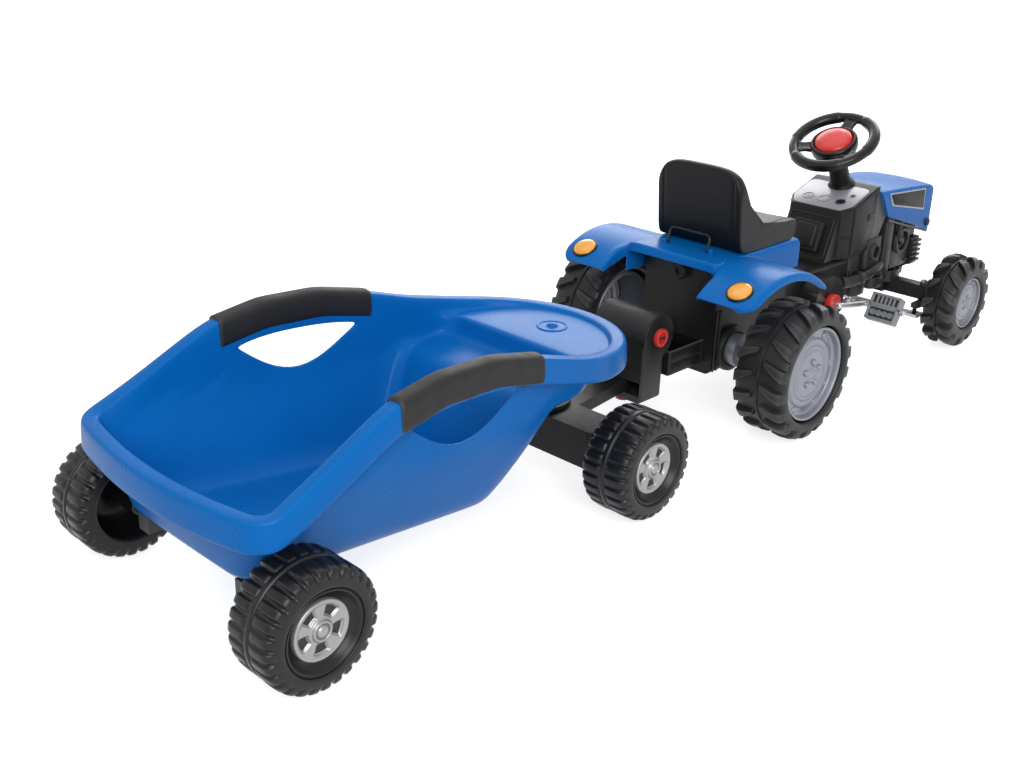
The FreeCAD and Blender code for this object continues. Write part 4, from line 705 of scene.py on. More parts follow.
    def nose_path(self, angle: float, share: float) -> list[Vector]:
        """Returns the inner corners of a station on the nose: floor, ramp, ledge, riser, platform and rim.

        Args:
            angle: The station's angle round the nose, in degrees from straight ahead.
            share: How far out it is on the ramp, as a share of the half width.
        """
        turn = math.radians(angle)
        way = Vector((math.cos(turn), math.sin(turn), 0.0))
        centre = Vector((self.nose_x - self.nose_radius, 0.0, 0.0))
        rim = centre + way * self.nose_radius
        rim.z = self.rim_z(rim.x)
        inner = rim - way * self.rim_width
        edge = rim - way * (self.rim_width + 2.5)
        edge.z = self.platform_z
        base_z = self.floor_z(self.ramp_foot_x)
        spread = self.nose_radius - self.rim_width
        base = Vector((self.ramp_foot_x, self.ramp_half * share, base_z))
        return [
            base - Vector((self.floor_edge, 0.0, -3.2)), base,
            Vector((self.ramp_top_x, spread * 0.98 * share, self.ramp_top_z)),
            Vector((self.riser_x - 4.0, spread * 1.02 * share, self.ramp_top_z + 5.0)),
            Vector((self.riser_x + 3.0, spread * 1.04 * share, self.platform_z)),
            edge, inner, rim,
        ]

    def paths(self) -> list[list[Vector]]:
        """Returns the inner corners of every station round the left half, from the rear to the nose."""
        found = []
        flat_half = self.rear_half - self.rear_corner
        foot_flat = self.foot_half + 20.0 - self.foot_corner
        back = Vector((-1.0, 0.0, 0.0))
        for share in self.rear_shares:
            bow = self.rear_bow * share * share
            rim = Vector((self.rear_x + bow, flat_half * share, 0.0))
            found.append(self.rear_path(rim, back, Vector((self.foot_rear_x, foot_flat * share, 0.0))))
        for angle in self.corner_angles:
            turn = math.radians(angle)
            way = Vector((-math.sin(turn), math.cos(turn), 0.0))
            rim = Vector((
                self.rear_x + self.rear_bow + self.rear_corner, flat_half, 0.0,
            )) + way * self.rear_corner
            rim.y = min(rim.y, self.half_width(rim.x))
            foot = Vector((self.foot_rear_x + self.foot_corner, foot_flat, 0.0)) + way * self.foot_corner
            found.append(self.rear_path(rim, way, foot))
        for x in self.side_places:
            found.append(self.side_path(x) if x <= self.hole_front_x else self.turn_path(x))
        for angle, share in zip(self.nose_angles, self.nose_shares):
            found.append(self.nose_path(angle, share))
        return found

    def lip(self, top: Vector, inner: Vector) -> list[Vector]:
        """Returns the two lower corners of the rim's hanging lip, outer and inner."""
        way = (top - inner).normalized()
        share = (top.x - self.rear_x) / (self.nose_x - self.rear_x)
        low = top - Vector((0.0, 0.0, mix(self.lip_rear, self.lip_nose, share)))
        return [low + way * self.lip_flare, low - way * self.lip_step]

    def build_shell(self) -> None:
        """Makes the shell from inner corners, their offsets outside and the lip between them."""
        half = self.paths()
        flip = [[mirrored(point) for point in path] for path in half[-2:0:-1]]
        inside = half + flip
        count = len(inside)
        sections = []
        for number, path in enumerate(inside):
            before, after = inside[number - 1], inside[(number + 1) % count]
            outside = []
            for row in range(len(path) - 2):
                on = path[row + 1] - path[max(row - 1, 0)]
                across = after[row] - before[row]
                outside.append(path[row] + across.cross(on).normalized() * -self.wall)
            low = self.lip(path[-1], path[-2])
            sections.append(filleted(path + low + outside[::-1], self.reaches))
        made = Shape()
        rows = [made.ring([tuple(path[row]) for path in sections]) for row in range(len(sections[0]))]
        first = len(self.rear_shares) + len(self.corner_angles) + self.side_places.index(self.hole_rear_x)
        last = first + self.side_places.index(self.hole_front_x) - self.side_places.index(self.hole_rear_x)
        spans = [range(first, last), range(count - last, count - first)]
        low_in, top_in, top_out, low_out = (rows[number] for number in (8, 9, 20, 21))
        for first_row, second_row in zip(rows, rows[1:]):
            for here in range(count):
                hole = first_row in (low_in, top_out) and any(here in span for span in spans)
                if not hole:
                    after = (here + 1) % count
                    made.face((first_row[here], first_row[after], second_row[after], second_row[here]))
        for span in spans:
            for here in span:
                made.face((low_in[here], low_in[here + 1], low_out[here + 1], low_out[here]))
                made.face((top_in[here + 1], top_in[here], top_out[here], top_out[here + 1]))
            for end in (span[0], span[-1] + 1):
                made.face((low_in[end], top_in[end], top_out[end], low_out[end]))
            edge = list(span) + [span[-1] + 1]
            for row in (low_in, top_in, top_out, low_out):
                made.crease([row[here] for here in edge], 0.35, False)
        made.face(rows[0][::-1])
        made.face(rows[-1])
        made.piece("tub_shell", "tub", [Coating.BLUE], ["tub"], smooth=2)

    def build_mouldings(self) -> None:
        """Makes the raised ring and bump on the platform and the bolt boss under it."""
        top = self.platform_z
        size = self.dial_radius
        ring = [
            (size, top - 0.5), (size, top + 0.8), (size - 1.2, top + 1.6), (size - 3.0, top + 1.6),
            (size - 4.2, top + 0.4), (size - 5.0, top + 0.2), (9.5, top + 0.2), (8.5, top + 1.0),
            (6.5, top + 4.2), (3.0, top + 5.6),
        ]
        revolve(ring, 40, (self.dial_x, 0.0, 0.0), "z").piece("tub_dial", "tub", [Coating.BLUE], smooth=1)
        low = self.boss_low_z
        size = self.boss_radius
        boss = [
            (9.0, low), (size - 2.0, low), (size, low + 2.0), (size, top - 6.0), (size + 5.0, top - 2.5),
        ]
        revolve(boss, 40, (self.boss_x, 0.0, 0.0), "z").piece("tub_boss", "tub", [Coating.BLUE], smooth=1)

    def build_grips(self) -> None:
        """Makes the soft sleeve round the rim above each hand hole."""
        skin = self.grip_skin
        made = Shape()
        for side in (1, -1):
            rows = []
            for step in range(self.grip_steps + 1):
                share = step / self.grip_steps
                x = mix(self.grip_rear_x, self.grip_front_x, share)
                top = self.rim_z(x) + skin
                outer = self.half_width(x) + skin
                inner = self.half_width(x) - self.rim_width - skin
                low = top - mix(*self.grip_drops, share) - skin
                section = [
                    (outer, low), (outer + 0.4, mix(low, top, 0.5)), (outer, top - 6.0),
                    (outer - 5.0, top - 0.4), ((outer + inner) / 2, top + 0.6), (inner + 5.0, top - 0.4),
                    (inner, top - 6.0), (inner, mix(low, top, 0.5)), (inner + 1.0, low),
                    (mix(inner, outer, 0.5), low - 1.0),
                ]
                rows.append([(x, y * side, z) for y, z in section])
            ends = Shape()
            rings = ends.loft(rows, True)
            for ring in (rings[0], rings[-1]):
                ends.crease(ring, 0.7)
            made.join(ends)
        made.piece("tub_grip_sleeves", "tub", [Coating.GRIP], ["tub_grips"], smooth=2)


class Side(Enum):
    """The two sides of the vehicle, with the direction of positive width."""

    LEFT = 1
    RIGHT = -1

    @property
    def word(self) -> str:
        """Returns the side as it stands in the names of nodes."""
        return self.name.lower()


@dataclass(frozen=True)
class TreadRow:
    """One ring of a tyre's section, between the lugs and on them. Lengths are millimetres."""

    low_y: float
    low_radius: float
    high_y: float
    high_radius: float
    width: float = 0.6
    skew: float = 0.0


def plain_row(y: float, radius: float) -> TreadRow:
    """Returns a ring of a section without lugs."""
    return TreadRow(y, radius, y, radius)


@dataclass(frozen=True)
class Hub:
    """Where a wheel stands: its axle's place and the side that its outer face looks to."""

    x: float
    y: float
    z: float
    side: Side

    def point(self, angle: float, out: float, radius: float) -> Spot:
        """Returns a point of the wheel from an angle, a distance out of its middle and a radius."""
        return (
            self.x + radius * math.cos(angle), self.y * self.side.value + out * self.side.value,
            self.z + radius * math.sin(angle),
        )


@dataclass
class Tyre:
    """A moulded tyre whose two halves carry staggered lugs."""

    lugs: int
    outer: tuple[TreadRow, ...]
    inner: tuple[TreadRow, ...]
    edge: float = 0.035

    def angles(self, row: TreadRow, half_step: bool) -> list[tuple[float, bool]]:
        """Returns the angles of a ring's points and whether each stands on a lug.

        Args:
            row: The ring.
            half_step: Whether the lugs of this half sit between those of the other.

        Returns:
            Pairs of an angle in radians and whether it is on a lug.
        """
        wide = row.width / 2
        phases = [
            (-0.5, False), (-wide - self.edge, False), (-wide + self.edge, True), (-wide / 2, True),
            (0.0, True), (wide / 2, True), (wide - self.edge, True), (wide + self.edge, False),
        ]
        if half_step:
            later, sooner = phases[4:], phases[:4]
            phases = [(phase - 0.5, high) for phase, high in later] + [
                (phase + 0.5, high) for phase, high in sooner
            ]
        return [
            (
                math.tau * (lug + phase + row.skew) / self.lugs, high,
            ) for lug in range(self.lugs) for phase, high in phases
        ]

    def shape(self, hub: Hub) -> Shape:
        """Returns the tyre as rings from the inner bead over the tread to the outer face.

        Args:
            hub: Where the wheel stands.
        """
        rows = []
        for half, sign in ((self.inner[::-1], -1.0), (self.outer, 1.0)):
            for row in half:
                points = []
                for angle, high in self.angles(row, sign < 0):
                    out, radius = (row.high_y, row.high_radius) if high else (row.low_y, row.low_radius)
                    points.append(hub.point(angle, out * sign, radius))
                rows.append(points)
        return lofted(rows, False)


@dataclass
class DiscFace:
    """A turned disc with windows cut round it, such as a rim or a hubcap."""

    section: tuple[tuple[float, float], ...]
    windows: int
    window_half: float
    window_rows: tuple[int, ...]
    window_depth: float
    turn: float = 0.0
    edge: float = 1.2
    between: int = 4

    def angles(self) -> list[tuple[float, bool]]:
        """Returns the angles of the disc's points, in degrees, and whether each lies in a window."""
        pitch = 360.0 / self.windows
        half = self.window_half
        found = []
        for window in range(self.windows):
            middle = self.turn + window * pitch
            for offset in (-half + self.edge, -half / 2, 0.0, half / 2, half - self.edge):
                found.append((middle + offset, True))
            gap = pitch - 2 * half - 2 * self.edge
            for step in range(self.between + 1):
                found.append((middle + half + self.edge + gap * step / self.between, False))
        return found

    def shape(self, hub: Hub) -> Shape:
        """Returns the disc, with finish 1 on the floors of its windows.

        Args:
            hub: Where the wheel stands.
        """
        made = Shape()
        angles = self.angles()
        rings = []
        for number, (radius, out) in enumerate(self.section):
            points = []
            for angle, inside in angles:
                depth = self.window_depth if inside and number in self.window_rows else 0.0
                points.append(hub.point(math.radians(angle), out - depth, radius))
            rings.append(made.ring(points))
        for number, (first, second) in enumerate(zip(rings, rings[1:])):
            cut = number in self.window_rows and number + 1 in self.window_rows
            for here in range(len(angles)):
                after = (here + 1) % len(angles)
                dark = cut and angles[here][1] and angles[after][1]
                made.face((first[here], first[after], second[after], second[here]), 1 if dark else 0)
        made.face(rings[-1])
        return made


def knob(
    hub: Hub, angle: float, place: float, out: float, section: Sequence[tuple[float, float]]
) -> Shape:
    """Returns a small turned bump on a wheel's face.

    Args:
        hub: The wheel.
        angle: Where it sits round the axle, in degrees.
        place: Its distance from the axle.
        out: Height of the face that it stands on.
        section: Pairs of radius and height above the face.

    Returns:
        The bump, open below.
    """
    turn = math.radians(angle)
    x, y, z = hub.point(turn, out, place)
    sided = [(radius, height * hub.side.value) for radius, height in section]
    return revolve(sided, KNOB_FACES, (x, y, z), "y", False)


@dataclass
class TractorWheel:
    """A tractor wheel: lugged tyre and dished grey rim, in the rear wheel's sizes scaled for the front."""

    radius: float
    width: float
    bead: float
    lugs: int
    x: float
    half_track: float
    word: str
    rear_radius: float = 118.0
    rear_width: float = 100.0
    rear_bead: float = 85.0
    slots: int = 4
    slot_half: float = 15.0
    slot_turn: float = 14.0
    slot_depth_share: float = 0.07
    heads: tuple[tuple[float, int, float, float, tuple[tuple[float, float], ...]], ...] = (
        (59.0, 4, 0.805, 0.30, ((5.4, -1.0), (5.2, 1.6), (4.4, 2.6), (2.2, 3.0), (0.2, 3.0))),
        (18.0, 5, 0.25, 0.367, ((6.0, -1.0), (5.8, 2.4), (4.6, 4.2), (2.0, 5.0), (0.2, 5.0))),
    )

    def section_radius(self, radius: float) -> float:
        """Returns a tyre radius of this wheel for one of the rear wheel."""
        share = (radius - self.rear_bead) / (self.rear_radius - self.rear_bead)
        return mix(self.bead, self.radius, share)

    def tread(self) -> tuple[TreadRow, ...]:
        """Returns the rings of one half of the tyre, from the seam to the bead."""
        rows = (
            (1.0, 112.6, 1.0, 112.6, 0.3, 0.0), (2.4, 109.6, 2.4, 109.6, 0.3, 0.0),
            (7.5, 109.6, 7.5, 109.8, 0.3, 0.0), (8.8, 109.4, 9.0, 116.2, 0.26, 0.02),
            (22.0, 108.4, 22.0, 117.8, 0.36, 0.16), (34.0, 106.6, 34.6, 117.0, 0.46, 0.29),
            (41.0, 104.4, 43.0, 114.0, 0.54, 0.37), (44.4, 102.6, 46.6, 109.0, 0.56, 0.40),
            (46.6, 101.2, 47.8, 103.4, 0.56, 0.41), (47.6, 99.4, 48.0, 99.8, 0.56, 0.42),
            (48.4, 96.0, 48.4, 96.0, 0.6, 0.42), (48.8, 91.0, 48.8, 91.0, 0.6, 0.42),
            (47.6, 88.0, 47.6, 88.0, 0.6, 0.42), (45.0, 86.2, 45.0, 86.2, 0.6, 0.42),
            (43.4, 85.6, 43.4, 85.6, 0.6, 0.42), (38.0, 85.2, 38.0, 85.2, 0.6, 0.42),
        )
        across = self.width / self.rear_width
        return tuple(
            TreadRow(
                low_y * across, self.section_radius(low), high_y * across, self.section_radius(high), wide,
                skew,
            )
            for low_y, low, high_y, high, wide, skew in rows
        )

    def rim(self) -> DiscFace:
        """Returns the rim's outer face with its slots, whose floors wear the dark finish of painted shade,
        and its inner barrel.
        """
        shares = (
            (0.88, -0.84), (0.985, -0.84), (0.985, 0.0), (0.985, 0.80), (0.975, 0.845), (0.955, 0.86),
            (0.925, 0.845), (0.912, 0.80), (0.90, 0.63), (0.885, 0.605), (0.855, 0.60), (0.845, 0.60),
            (0.765, 0.60), (0.755, 0.60), (0.735, 0.605), (0.72, 0.64), (0.70, 0.67), (0.66, 0.685),
            (0.62, 0.685), (0.605, 0.655), (0.585, 0.655), (0.57, 0.70), (0.54, 0.715), (0.52, 0.685),
            (0.50, 0.685), (0.48, 0.72), (0.40, 0.735), (0.30, 0.735), (0.18, 0.735), (0.165, 0.80),
            (0.13, 0.83), (0.10, 0.81), (0.085, 0.77), (0.03, 0.77),
        )
        section = tuple((self.bead * reach, self.width / 2 * out) for reach, out in shares)
        depth = self.width * self.slot_depth_share
        return DiscFace(section, self.slots, self.slot_half, (11, 12), depth, turn=self.slot_turn)

    def build(self, side: Side, body: str) -> None:
        """Makes the wheel's tyre and rim.

        Args:
            side: The side that it is on.
            body: The body that carries it.
        """
        hub = Hub(self.x, self.half_track, self.radius, side)
        tyre = Tyre(self.lugs, self.tread(), self.tread())
        node = f"{self.word}_tyre_{side.word}"
        tyre.shape(hub).piece(f"{node}_lugs", body, [Coating.TREAD], [node], sharp=34.0)
        rim = self.rim().shape(hub)
        small = self.bead / self.rear_bead
        for start, count, reach_share, out_share, head in self.heads:
            section = [(reach * small, rise * small) for reach, rise in head]
            for number in range(count):
                angle = start + number * 360.0 / count
                rim.join(knob(hub, angle, self.bead * reach_share, self.width * out_share, section))
        node = f"{self.word}_rim_{side.word}"
        # The slots' floors take the dark finish: painted shade.
        rim.piece(f"{node}_face", body, [Coating.RIM, Coating.RECESS], [node], smooth=1)


@dataclass
class TrailerWheel:
    """A trailer wheel: one glossy black moulding with blocks round the tread, and a silver hubcap."""

    radius: float = 82.0
    half: float = 42.0
    half_track: float = 210.0
    hub_in: float = 56.0
    blocks: int = 28

    def tread(self) -> tuple[TreadRow, ...]:
        """Returns the rings of one half of the tread, from the middle ridge to the sidewall."""
        wide = 0.68
        return (
            plain_row(1.2, 81.4), plain_row(3.0, 81.2), plain_row(3.8, 78.8), plain_row(5.6, 78.8),
            TreadRow(6.4, 78.8, 6.6, 81.4, wide), TreadRow(12.0, 78.4, 12.0, 81.9, wide),
            TreadRow(27.0, 78.0, 27.0, 81.8, wide), TreadRow(33.0, 77.0, 33.4, 81.0, wide),
            TreadRow(36.6, 74.4, 38.0, 78.4, wide), TreadRow(38.6, 71.0, 40.6, 73.4, wide),
            TreadRow(39.8, 69.4, 40.8, 70.6, 0.6), plain_row(40.9, 68.6),
        )

    def face(self) -> tuple[TreadRow, ...]:
        """Returns the rings of the outer face, from the sidewall to the middle."""
        section = (
            (41.4, 66.0), (41.8, 60.0), (41.4, 57.2), (40.4, 56.4), (38.0, 56.0), (37.6, 54.6),
            (39.8, 54.0), (40.2, 52.6), (39.2, 51.4), (35.0, 48.8), (31.0, 45.6), (28.6, 42.0),
            (27.8, 38.0), (27.4, 20.0), (27.4, 7.0),
        )
        return tuple(plain_row(out, radius) for out, radius in section)

    def back(self) -> tuple[TreadRow, ...]:
        """Returns the rings of the hollow inner face, from the sidewall to the hub's end."""
        section = (
            (41.2, 66.0), (41.2, 58.0), (40.0, 54.0), (36.0, 52.0), (10.0, 50.0), (-16.0, 46.0),
            (-20.0, 40.0), (-21.0, 20.0), (-18.0, 14.0), (0.0, 12.4), (self.hub_in - 4.0, 12.2),
            (self.hub_in - 0.4, 11.4), (self.hub_in - 0.2, 7.0),
        )
        return tuple(plain_row(out, radius) for out, radius in section)

    def hubcap(self) -> DiscFace:
        """Returns the five spoked hubcap."""
        section = (
            (40.0, 26.0), (40.0, 30.6), (39.4, 33.2), (37.8, 34.4), (35.4, 34.0), (34.0, 33.0),
            (32.4, 32.6), (31.8, 32.6), (24.0, 32.2), (18.4, 32.0), (17.8, 32.0), (15.4, 32.2),
            (14.2, 33.4), (13.2, 36.0), (12.0, 36.6), (10.6, 36.4), (9.8, 35.0), (9.4, 33.4), (8.8, 33.2),
            (8.2, 35.4), (6.4, 37.4), (3.4, 38.6), (0.8, 38.8),
        )
        return DiscFace(section, 5, 19.0, (7, 8, 9), 4.6, turn=54.0, edge=1.6)

    def build(self, x: float, place: str, side: Side) -> None:
        """Makes the wheel and its hubcap.

        Args:
            x: Where its axle is along the trailer.
            place: Front or rear, as in the nodes' names.
            side: The side that it is on.
        """
        hub = Hub(x, self.half_track, self.radius, side)
        tyre = Tyre(self.blocks, self.tread() + self.face(), self.tread() + self.back(), 0.05)
        node = f"trailer_wheel_{place}_{side.word}"
        tyre.shape(hub).piece(f"{node}_blocks", node, [Coating.BLOCKS], [node], smooth=1)
        cap = f"hubcap_{place}_{side.word}"
        self.hubcap().shape(hub).piece(
            f"{cap}_spokes", node, [Coating.SILVER, Coating.RECESS], [cap], smooth=1,
        )


@dataclass
class RunningGear:
    """All the wheels of the tractor and the trailer."""

    wheelbase: float = 640.0
    trailer_rear_x: float = -1025.0
    trailer_front_x: float = -421.0

    def build(self) -> None:
        """Makes the four tractor wheels and the four trailer wheels."""
        rear = TractorWheel(118.0, 100.0, 85.0, 18, 0.0, 208.0, "rear")
        front = TractorWheel(94.0, 68.0, 54.0, 14, self.wheelbase, 194.0, "front")
        rear.build(Side.LEFT, "rear_wheel_left")
        rear.build(Side.RIGHT, "drive_axle")
        for side in Side:
            front.build(side, f"front_wheel_{side.word}")
            TrailerWheel().build(self.trailer_front_x, "front", side)
            TrailerWheel().build(self.trailer_rear_x, "rear", side)


def square(x0: float, x1: float, z0: float, z1: float) -> list[tuple[float, float]]:
    """Returns the four corners of a rectangle, in order round it."""
    return [(x0, z0), (x1, z0), (x1, z1), (x0, z1)]


def rounded(outline: Sequence[Vector], radius: float, steps: int = 4) -> list[Vector]:
    """Rounds the corners of a flat outline.

    Args:
        outline: The corners, in order.
        radius: How far each rounding reaches along its two edges.
        steps: Points in each rounding, less one.

    Returns:
        The points of the rounded outline.
    """
    made = []
    count = len(outline)
    for number, corner in enumerate(outline):
        back = outline[number - 1] - corner
        on = outline[(number + 1) % count] - corner
        start = corner + back.normalized() * min(radius, back.length * CORNER_SHARE)
        end = corner + on.normalized() * min(radius, on.length * CORNER_SHARE)
        for step in range(steps + 1):
            share = step / steps
            made.append(start.lerp(corner, share).lerp(corner.lerp(end, share), share))
    return made


def plate(outline: Sequence[Vector], rise: float, edge: float, sink: float = 0.6, mark: int = 0) -> Shape:
    """Makes a flat plate with a rounded upper edge.

    Args:
        outline: Its corners, counted so that the plate rises towards whoever sees them run anticlockwise.
        rise: Height of its face above the outline.
        edge: Width of the rounded edge.
        sink: How far its foot goes below the outline.
        mark: Its finish.

    Returns:
        The plate, open below.
    """
    count = len(outline)
    middle = sum(outline, Vector(ORIGIN)) / count
    out = Vector(ORIGIN)
    for number, corner in enumerate(outline):
        out += (corner - middle).cross(outline[(number + 1) % count] - middle)
    out.normalize()
    inward = []
    for number, corner in enumerate(outline):
        along_edge = (outline[(number + 1) % count] - outline[number - 1]).normalized()
        inward.append(out.cross(along_edge).normalized())
    levels = ((-sink, 0.0), (rise - edge, 0.0), (rise - edge * 0.3, edge * 0.3), (rise, edge))
    rows = [
        [tuple(corner + out * level + way * inset) for corner, way in zip(outline, inward)]
        for level, inset in levels
    ]
    return lofted(rows, True, mark)


def side_plate(corners: Sequence[tuple[float, float]], y: float, corner: float, rise: float, edge: float,
               mark: int = 0) -> Shape:
    """Makes a plate that rises to the right from an upright side.

    Args:
        corners: Pairs of place along the tractor and height, anticlockwise as seen from the right.
        y: Where the side stands.
        corner: Radius of the plate's corners.
        rise: Height of its face above the side.
        edge: Width of its rounded edge.
        mark: Its finish.

    Returns:
        The plate.
    """
    return plate(rounded([Vector((x, y, z)) for x, z in corners], corner), rise, edge, mark=mark)


def tube(path: Sequence[Spot], radii: Sequence[float], count: int) -> Shape:
    """Makes a round bar along a path.

    Args:
        path: Its middle line.
        radii: Its radius at each point of the path.
        count: Faces round it.

    Returns:
        The bar with closed ends.
    """
    rows = []
    points = [Vector(point) for point in path]
    side = Vector((0.0, 0.0, 1.0))
    for number, (point, radius) in enumerate(zip(points, radii)):
        way = (points[min(number + 1, len(points) - 1)] - points[max(number - 1, 0)]).normalized()
        side = side - way * side.dot(way)
        if side.length < 0.1:
            side = way.orthogonal()
        side.normalize()
        other = way.cross(side)
        turns = [math.tau * step / count for step in range(count)]
        rows.append([
            tuple(point + (side * math.cos(turn) + other * math.sin(turn)) * radius) for turn in turns
        ])
    return lofted(rows)


def block(low: Spot, high: Spot, corner: float, rise: float = 1.0) -> Shape:
    """Makes a rounded block.

    Args:
        low: Its lowest corner.
        high: Its highest corner.
        corner: Radius of its upright edges.
        rise: Width of the rounded edges of its top and foot.

    Returns:
        The closed block.
    """
    plan = [Vector((x, y, 0.0)) for x, y in square(low[0], high[0], low[1], high[1])]
    centre = Vector(((low[0] + high[0]) / 2, (low[1] + high[1]) / 2, 0.0))
    half = Vector(((high[0] - low[0]) / 2, (high[1] - low[1]) / 2, 1.0))
    rows = []
    for z, inset in (
        (low[2], rise), (low[2] + rise * 0.3, rise * 0.3), (low[2] + rise, 0.0), (high[2] - rise, 0.0),
        (high[2] - rise * 0.3, rise * 0.3), (high[2], rise),
    ):
        scale = Vector(((half.x - inset) / half.x, (half.y - inset) / half.y, 0.0))
        ring = []
        for point in rounded(plan, corner, 3):
            ring.append((
                centre.x + (point.x - centre.x) * scale.x, centre.y + (point.y - centre.y) * scale.y, z
            ))
        rows.append(ring)
    return lofted(rows)


@dataclass
class Saddle:
    """The blue saddle: deck under the seat, both fenders, the clips of the bail and the tail lamps."""

    rear_x: float = -92.0
    front_x: float = 168.0
    half: float = 95.0
    skirt_z: float = 238.0
    deck_z: float = 291.0
    centre_x: float = -35.0
    centre_z: float = 105.0
    radius: float = 186.0
    outer_y: float = 206.0
    fender_lip: float = 15.0
    tail_round: float = 26.0
    bail_x: float = -44.0
    clip_y: float = 44.7
    clip_size: float = 8.0
    lamp_angle: float = 118.0
    lamp_y: float = 166.0
    lamp_radius: float = 21.0
    angles: tuple[float, ...] = (
        49.5, 49.9, 51.0, 55.0, 61.0, 67.0, 73.0, 79.0, 85.0, 91.0, 97.0, 101.0, 104.0, 107.0, 109.5, 112.0,
        116.0, 120.0, 124.0, 127.0, 128.1, 128.5,
    )
    inner_edges: tuple[tuple[float, float], ...] = (
        (100.0, 84.0), (104.0, 86.0), (107.0, 91.0), (109.5, 97.0), (112.0, 100.0),
    )
    skirt_depths: tuple[tuple[float, float], ...] = (
        (100.0, 1.0), (104.0, 9.0), (109.5, 20.0), (114.0, 20.0), (122.0, 14.0), (128.5, 6.0),
    )

    def build(self) -> None:
        """Makes the saddle and its lamps."""
        clip = block(
            (self.bail_x - self.clip_size / 2, self.clip_y, self.deck_z - 1.5),
            (self.bail_x + self.clip_size / 2, self.clip_y + self.clip_size, self.deck_z + self.clip_size),
            2.5,
        )
        made = self.deck()
        made.join(paired(self.fender(), clip))
        made.piece("saddle_moulding", "chassis", [Coating.BLUE], ["fender_saddle"], smooth=2)
        self.build_lamps()

    def deck_row(self, x: float, fall: float, bead: float) -> list[Spot]:
        """Returns the closed section of the deck at a place along the tractor.

        Args:
            x: The place.
            fall: How far the top has turned down there.
            bead: How far it is raised there.
        """
        top = self.deck_z - fall + bead
        low = self.skirt_z
        outer = [
            (0.0, top), (40.0, top), (72.0, top), (86.0, top - 0.2), (92.6, top - 2.2), (95.0, top - 9.0),
        ]
        outer += [(95.0, mix(top, low, 0.45)), (95.0, low + 2.0), (95.0, low)]
        inner = [
            (92.0, low), (92.0, low + 2.0), (92.0, mix(top, low, 0.45)), (91.8, top - 10.0),
            (90.0, top - 5.2),
        ]
        inner += [(84.0, top - 3.4), (71.0, top - 3.0), (40.0, top - 3.0), (0.0, top - 3.0)]
        right = [(x, -y, z) for y, z in outer[:0:-1]]
        left = [(x, y, z) for y, z in outer + inner[:-1]]
        back = [(x, -y, z) for y, z in inner[::-1]]
        return right + left + back

    def deck(self) -> Shape:
        """Returns the deck with its rolled rear edge."""
        stations = (
            (self.rear_x, 11.6, 0.0), (self.rear_x + 0.2, 10.0, 0.0), (self.rear_x + 0.5, 4.0, 0.0),
            (self.rear_x + 2.0, 0.4, 0.4), (self.rear_x + 5.0, 0.0, 1.2), (self.rear_x + 8.5, 0.0, 1.2),
            (self.rear_x + 11.5, 0.0, 0.1), (self.rear_x + 15.0, 0.0, 0.0), (-40.0, 0.0, 0.0),
            (10.0, 0.0, 0.0), (60.0, 0.0, 0.0), (110.0, 0.0, 0.0), (150.0, 0.0, 0.0),
            (self.front_x - 3.0, 0.4, 0.0), (self.front_x - 0.6, 1.6, 0.0), (self.front_x, 4.0, 0.0),
        )
        return self.moulded([self.deck_row(*station) for station in stations], 0.6)

    @staticmethod
    def moulded(rows: Sequence[Sequence[Spot]], crease: float) -> Shape:
        """Lofts folded sections and closes both ends.

        Args:
            rows: The sections.
            crease: How sharp the rims of the two ends stay.

        Returns:
            The closed shell.
        """
        made = Shape()
        rings = made.loft(rows)
        made.strip(rings[0][::-1])
        made.strip(rings[-1])
        for ring in (rings[0], rings[-1]):
            made.crease(ring, crease)
        return made

    def fender_row(self, angle: float) -> list[Spot]:
        """Returns the closed section of the left fender.

        Args:
            angle: Its angle round the fender's arc, in degrees.
        """
        turn = math.radians(angle)
        surface_z = self.centre_z + self.radius * math.sin(turn)
        inner = along(self.inner_edges, angle)
        skirt = along(self.skirt_depths, angle)
        tail = min(1.0, max(0.0, (angle - 100.0) / 9.5))
        gap = max(0.0, self.deck_z - 3.0 - surface_z) * (1.0 - tail)
        fillet = min(8.0, gap)
        wall_y = mix(self.half - 1.0, inner, tail) if gap > 0 else inner
        rim = self.fender_lip * min(1.0, 0.55 + (angle - 49.5) / 12.0, 0.6 + (128.5 - angle) / 10.0)
        past = min(1.0, max(0.0, (angle - 118.0) / 10.5))
        outer = self.outer_y - self.tail_round * (1.0 - math.sqrt(1.0 - past * past))
        section = [
            (wall_y, -skirt * tail + fillet * (1 - tail)), (wall_y, mix(fillet * 0.8, -8.0, tail)),
            (wall_y + mix(1.4, 0.6, tail), mix(fillet * 0.42, -1.6, tail)),
            (wall_y + mix(4.4, 3.0, tail), mix(fillet * 0.12, tail, tail)), (wall_y + 9.0, tail),
            (wall_y + 13.0, 0.0), (132.0, 0.0), (160.0, 0.0), (outer - 16.0, 0.0), (outer - 6.5, -0.3),
            (outer - 2.0, -2.2), (outer, -7.0), (outer, -rim * 0.7), (outer, -rim),
            (outer - 1.6, -rim - 0.3), (outer - 3.0, -rim), (outer - 3.0, -rim * 0.7), (outer - 3.4, -8.0),
            (outer - 8.0, -3.6), (outer - 20.0, -3.0), (156.0, -3.0), (128.0, -3.0), (wall_y + 11.0, -3.0),
            (wall_y + 4.2, mix(-3.0, -5.0, tail)), (wall_y + 3.0, mix(-2.6, -9.0, tail)),
            (wall_y + mix(1.0, 3.0, tail), mix(-2.4, -skirt, tail)),
        ]
        return [
            (
                self.centre_x + (self.radius + rise) * math.cos(turn), y,
                self.centre_z + (self.radius + rise) * math.sin(turn),
            )
            for y, rise in section
        ]

    def fender(self) -> Shape:
        """Returns the left fender, from its front end over the wheel to its tail."""
        return self.moulded([self.fender_row(angle) for angle in self.angles], 0.5)

